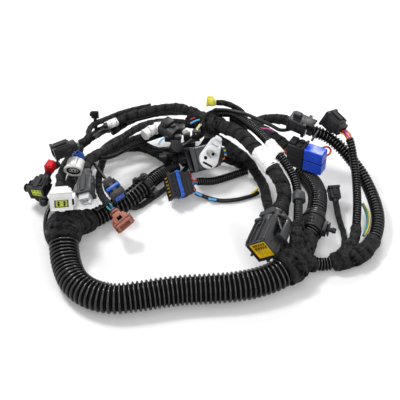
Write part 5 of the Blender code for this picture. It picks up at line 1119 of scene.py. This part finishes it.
# camera, first, because the cords are measured against its view
cameraValues = {"lens": 85, "sensor": 36, "elevation": 42, "distance": 1.05, "target": (-0.0047, 0.0095, 0.020)}


def placeCamera(values):
    data = bpy.data.cameras.new("photoCamera")
    data.lens = values["lens"]
    data.sensor_width = values["sensor"]
    camera = link(bpy.data.objects.new("photoCamera", data))
    tilt = math.radians(values["elevation"])
    camera.location = Vector(values["target"]) + Vector((0, -math.cos(tilt), math.sin(tilt))) * values["distance"]
    camera.rotation_euler = (math.radians(90) - tilt, 0, 0)
    bpy.context.scene.camera = camera


placeCamera(cameraValues)

# the material slot of each node, as model.json gives it
slotOf = {entry["node"]: entry["material_slot"] for entry in frame["record"]["subparts"]}


def buildBundles():
    for name, points in bundles.items():
        look = bundleLooks[name]
        path = smoothPath(points)
        if name in fanOuts:
            path = pathAt(path, np.linspace(0, distances(path)[-1] - fanOuts[name]["trim"] * mm, len(path)))
        radius = radii[name] * mm
        make = {"ribbed": ribbed, "taped": taped}.get(look["look"])
        obj = make(name + "Piece", path, radius, look) if make else sheath(name + "Piece", path, radius)
        dress(obj, "conduit_black" if look["look"] == "ribbed" else slotOf[name])
        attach(obj, "harness")
        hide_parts(name)
        declareCord(name, path)
        if name in fanOuts:
            fanWires(name, path, fanOuts[name])
    print("bundles laid:", len(bundles))


# wound tape where bundles meet: swollen arms, fused and smoothed, then creased by the tape's turns
junctionValues = {"tape": 1.2, "voxel": 1.1, "smooth": 6, "crease": 1.3, "turn": 9, "factor": 0.6}


def evenOut(obj, values):
    # one skin of even faces round everything in the mesh, smoothed
    remesh = obj.modifiers.new("fuse", "REMESH")
    remesh.mode = "VOXEL"
    remesh.voxel_size = values["voxel"] * mm
    soften = obj.modifiers.new("soften", "SMOOTH")
    soften.iterations = values["smooth"]
    soften.factor = values["factor"]
    fused = evaluatedMesh(obj)
    obj.modifiers.clear()
    obj.data = fused


def buildJunctions(values):
    for name, arms in junctionArms.items():
        pieces = []
        for index, (radius, points) in enumerate(arms):
            path = smoothPath(points, 2.0)
            factors = np.interp(np.linspace(0, 1, len(path)), [0, 0.4, 0.85, 1], [1.1, 1.1, 1.02, 0.98])
            pieces.append(sweep(name + "Arm%d" % index, path, (radius + values["tape"]) * mm, 24, factors))
        body = bmesh.new()
        for piece in pieces:
            body.from_mesh(piece.data)
            bpy.data.objects.remove(piece)
        obj = objectFrom(body, name + "Piece")
        evenOut(obj, values)
        windBands(name, obj, arms)
        creaseTape(obj, arms, values)
        obj.data.shade_smooth()
        dress(obj, "cloth_tape")
        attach(obj, "harness")
        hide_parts(name)
    print("junctions wound:", len(junctionArms))


bandValues = {"width": 9.5, "spacing": 6.5, "rise": 1.3, "tilt": 0.6, "around": 52, "reach": 1.55}
# share of the width, share of the rise, and how deep the painted shade is there, dark at the tucked edges and fading
# across the band
bandRows = ((-0.5, -0.9, 1.0), (-0.49, 0.55, 1.0), (-0.25, 0.85, 0.55), (0.0, 1.0, 0.2), (0.25, 0.85, 0.0),
            (0.49, 0.7, 0.0), (0.5, -0.9, 1.0))


def windBands(name, body, arms):
    # loose turns of tape across the junction, each following its surface, so that their edges show, helped by painted
    # shade along them
    tree = BVHTree.FromObject(body, bpy.context.evaluated_depsgraph_get())
    values = bandValues
    draw = random.Random(len(name) * 7 + len(arms))
    places, faces, uvs, shades = [], [], [], []
    for radius, points in arms:
        path = smoothPath(points, 1.0)
        length = distances(path)[-1]
        turns = max(2, round((length / mm - 6) / values["spacing"]))
        for turn in range(turns):
            along = (3 + turn * values["spacing"]) * mm
            centre, ahead = (Vector(p) for p in pathAt(path, np.array([along, min(along + 1.5 * mm, length)])))
            heading = (ahead - centre).normalized()
            side = heading.cross((0, 0, 1)).normalized()
            heading = (heading + side * draw.uniform(-values["tilt"], values["tilt"])
                       + Vector((0, 0, draw.uniform(-values["tilt"], values["tilt"])))).normalized()
            side = heading.cross((0, 0, 1)).normalized()
            up = side.cross(heading)
            start = len(places)
            reach = radius * values["reach"] * mm
            for row, (share, rise, shade) in enumerate(bandRows):
                origin = centre + heading * share * values["width"] * mm
                sizes = []
                for step in range(values["around"]):
                    angle = 2 * math.pi * step / values["around"]
                    out = side * math.cos(angle) + up * math.sin(angle)
                    hit = tree.ray_cast(origin + out * reach, -out)[0]
                    sizes.append((hit - origin).length if hit else radius * mm)
                sizes = np.clip(sizes, radius * mm * 0.9, reach)
                sizes = (np.roll(sizes, 1) + 2 * sizes + np.roll(sizes, -1)) / 4
                for step, size in enumerate(sizes):
                    angle = 2 * math.pi * step / values["around"]
                    out = side * math.cos(angle) + up * math.sin(angle)
                    pucker = noise.noise(Vector((angle * 6.3, row * 0.5, turn * 5.7))) * (1.1 if rise > 0 else 0)
                    places.append(origin + out * (size + (rise * values["rise"] + pucker) * mm))
                    uvs.append((angle * size, share * values["width"] * mm))
                    # painted shade where a pucker dips and painted light where it rises
                    shades.append(shade - pucker * 0.8)
            for row in range(len(bandRows) - 1):
                for step in range(values["around"]):
                    after = (step + 1) % values["around"]
                    faces.append([start + (row + a) * values["around"] + b
                                  for a, b in ((0, step), (0, after), (1, after), (1, step))])
    mesh = bpy.data.meshes.new(name + "Bands")
    mesh.from_pydata(places, [], faces)
    mesh.uv_layers.new(name="UVMap").data.foreach_set("uv", np.array(uvs, np.float32)[loopVertices(mesh)].ravel())
    mesh.shade_smooth()
    obj = link(bpy.data.objects.new(name + "Bands", mesh))
    markDark(obj, np.array(shades))
    dress(obj, "cloth_tape")
    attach(obj, "harness")


def creaseTape(obj, arms, values):
    # each turn of tape leaves a step, and it follows the nearest arm, with creases where arms meet
    points = pointsOf(obj)
    normals = normalsOf(obj)
    nearest = np.full(len(points), 9.0)
    phase = np.zeros(len(points))
    where = np.zeros((len(points), 2))
    for index, (radius, arm) in enumerate(arms):
        path = smoothPath(arm, 1.0)
        along = distances(path)
        gap = np.linalg.norm(points[:, None] - path[None], axis=2)
        best = gap.argmin(1)
        reach = gap.min(1) - radius * mm
        heading = headings(path)
        side = np.cross(heading[best], (0.0, 0.0, 1.0))
        side /= np.maximum(np.linalg.norm(side, axis=1), 1e-6)[:, None]
        out = points - path[best]
        angle = np.arctan2((np.cross(side, heading[best]) * out).sum(1), (side * out).sum(1))
        closer = reach < nearest
        nearest = np.where(closer, reach, nearest)
        phase = np.where(closer, along[best] / (values["turn"] * mm) + angle / (2 * math.pi) + 0.37 * index, phase)
        where[closer] = np.stack([along[best], angle * radius * mm], axis=1)[closer]
    turn = (phase + 0.35 * noiseAt(points, 22 * mm, 3.0)) % 1.0
    crumple = 0.8 * noiseAt(points, 8 * mm, 2.0) - 1.6 * np.abs(noiseAt(points, 6 * mm,
        5.0)) + 0.5 * noiseAt(points, 3 * mm, 8.0)
    grow = (np.clip(turn / 0.9, 0, 1) * values["crease"] + crumple - 0.2) * mm
    setPoints(obj, points + normals * grow[:, None])
    # painted shade at the edge of each turn and in the crumpled dips
    markDark(obj, np.clip(1 - turn / 0.22, 0, 1) * 0.8 + np.clip(-crumple - 0.1, 0, 1))
    layer = obj.data.uv_layers.new(name="UVMap")
    layer.data.foreach_set("uv", where[loopVertices(obj.data)].astype(np.float32).ravel())


# moulded pieces that keep the solid's own shape, with their edges rounded; the number is the edge radius in mm
roundedNodes = {
    "ecu_boot": 0.6, "ecu_plug_housing": 0.5, "ecu_plug_insert": 0.25, "lever_plug_housing": 0.6,
    "lever_plug_lever": 0.5, "wide_plug_housing": 0.4, "wide_plug_lock": 0.35, "white_plug_housing": 2.0,
    "white_plug_insert": 0.25, "black_plug_housing": 0.45, "black_plug_insert": 0.25, "grey_plug_housing": 0.4,
    "grey_plug_lock": 0.3, "band_plug_housing": 0.4, "band_plug_lock": 0.3, "flat_plug": 0.4, "sensor_plug": 0.5,
    "clip_plug": 0.3, "yellow_plug": 0.3, "oval_plug_body": 0.4, "oval_plug_shell": 0.4, "injector_plug": 0.45,
    "relay_socket": 0.5, "relay_lower": 0.6, "relay_upper": 0.6, "conduit_clip": 0.35, "conduit_clamp": 0.4,
    "red_cap": 0.4, "second_plug": 0.45, "oval_socket": 0.35,
}


def roundEdges(node, radius):
    # a merged copy of the solid, its edges bevelled, which stands for it
    source = frame["nodes"][node]
    body = bmesh.new()
    body.from_mesh(source.data)
    bmesh.ops.remove_doubles(body, verts=body.verts, dist=roundingValues["merge"])
    bmesh.ops.dissolve_limit(body, angle_limit=math.radians(roundingValues["flat"]), verts=body.verts,
        edges=body.edges)
    obj = objectFrom(body, node + "Piece")
    bevel = obj.modifiers.new("edges", "BEVEL")
    bevel.width = radius * mm
    bevel.segments = 2
    bevel.limit_method = "ANGLE"
    bevel.angle_limit = math.radians(roundingValues["bevel"])
    bevel.use_clamp_overlap = True
    bevel.harden_normals = False
    obj.data.shade_smooth()
    obj.data.set_sharp_from_angle(angle=math.radians(roundingValues["sharp"]))
    dress(obj, slotOf[node])
    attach(obj, source["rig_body"])
    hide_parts(node)


def buildRounded():
    for node, radius in roundedNodes.items():
        roundEdges(node, radius)
    print("moulded pieces rounded:", len(roundedNodes))


# white tape round the two back bundles, crumpled
whiteTapeValues = {"voxel": 0.7, "smooth": 5, "factor": 0.5, "lumps": 0.9, "folds": 1.3, "lift": 0.3}


def buildWhiteTape(values):
    source = frame["nodes"]["white_tape"]
    obj = link(bpy.data.objects.new("whiteTapePiece", source.data.copy()))
    evenOut(obj, values)
    points, normals = pointsOf(obj), normalsOf(obj)
    grow = (values["lumps"] * noiseAt(points, 7 * mm, 2.0)
            - values["folds"] * np.abs(noiseAt(points, 5 * mm, 6.0)) + values["lift"])
    setPoints(obj, points + normals * grow[:, None] * mm)
    obj.data.shade_smooth()
    obj.data.uv_layers.new(name="UVMap")
    dress(obj, "tape_white")
    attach(obj, "harness")
    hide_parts("white_tape")


buildRounded()
buildBundles()
buildExtraBundles()
buildJunctions(junctionValues)
buildWhiteTape(whiteTapeValues)
buildPlugDetails()
buildLooseWires()
buildOvalSeal()
buildSlit(slitValues)
buildPatches()


# floor, lamps and background
stageValues = {"floor": 3.0, "drop": 0.0002, "colour": (0.9, 0.9, 0.905, 1), "gloss": 0.7, "world": 0.22,
    "floorGlow": 0.12, "lamps": {
    "keyLamp": ((-0.55, 0.35, 1.15), 0.3, 9.5), "fillLamp": ((0.4, -1.1, 0.9), 1.2, 8),
    "backLamp": ((0.35, 1.1, 0.85), 0.3, 7.5), "topLamp": ((0.0, -0.2, 1.5), 0.9, 3.2)}}


def buildStage(values):
    body = bmesh.new()
    bmesh.ops.create_grid(body, x_segments=1, y_segments=1, size=values["floor"])
    floor = objectFrom(body, "paleFloor")
    floor.location.z = -values["drop"]
    material, tree, shader = newMaterial("paleFloor")
    shader.inputs["Base Color"].default_value = values["colour"]
    shader.inputs["Roughness"].default_value = values["gloss"]
    shader.inputs["Emission Color"].default_value = (1, 1, 1, 1)
    rays = addNode(tree, "ShaderNodeLightPath")
    glow = mathNode(tree, "MULTIPLY", rays.outputs["Is Camera Ray"], values["floorGlow"])
    tree.links.new(glow, shader.inputs["Emission Strength"])
    floor.data.materials.append(material)
    for name, (place, size, power) in values["lamps"].items():
        data = bpy.data.lights.new(name, "AREA")
        data.shape = "SQUARE"
        data.size = size
        data.energy = power
        lamp = link(bpy.data.objects.new(name, data))
        lamp.location = place
        lamp.rotation_euler = (-Vector(place)).to_track_quat("-Z", "Y").to_euler()
    world = bpy.data.worlds.new("studio")
    bpy.context.scene.world = world
    world.use_nodes = True
    tree = world.node_tree
    rays = addNode(tree, "ShaderNodeLightPath")
    shown = mathNode(tree, "MAXIMUM", rays.outputs["Is Camera Ray"], rays.outputs["Is Transmission Ray"])
    shown = mathNode(tree, "MAXIMUM", shown, rays.outputs["Is Glossy Ray"])
    level = mathNode(tree, "ADD", mathNode(tree, "MULTIPLY", shown, 1 - values["world"]), values["world"])
    ambient = tree.nodes["Background"]
    ambient.inputs["Color"].default_value = (1, 1, 1, 1)
    tree.links.new(level, ambient.inputs["Strength"])
    print("stage set")


buildStage(stageValues)
scene = bpy.context.scene
scene.view_settings.view_transform = "Standard"
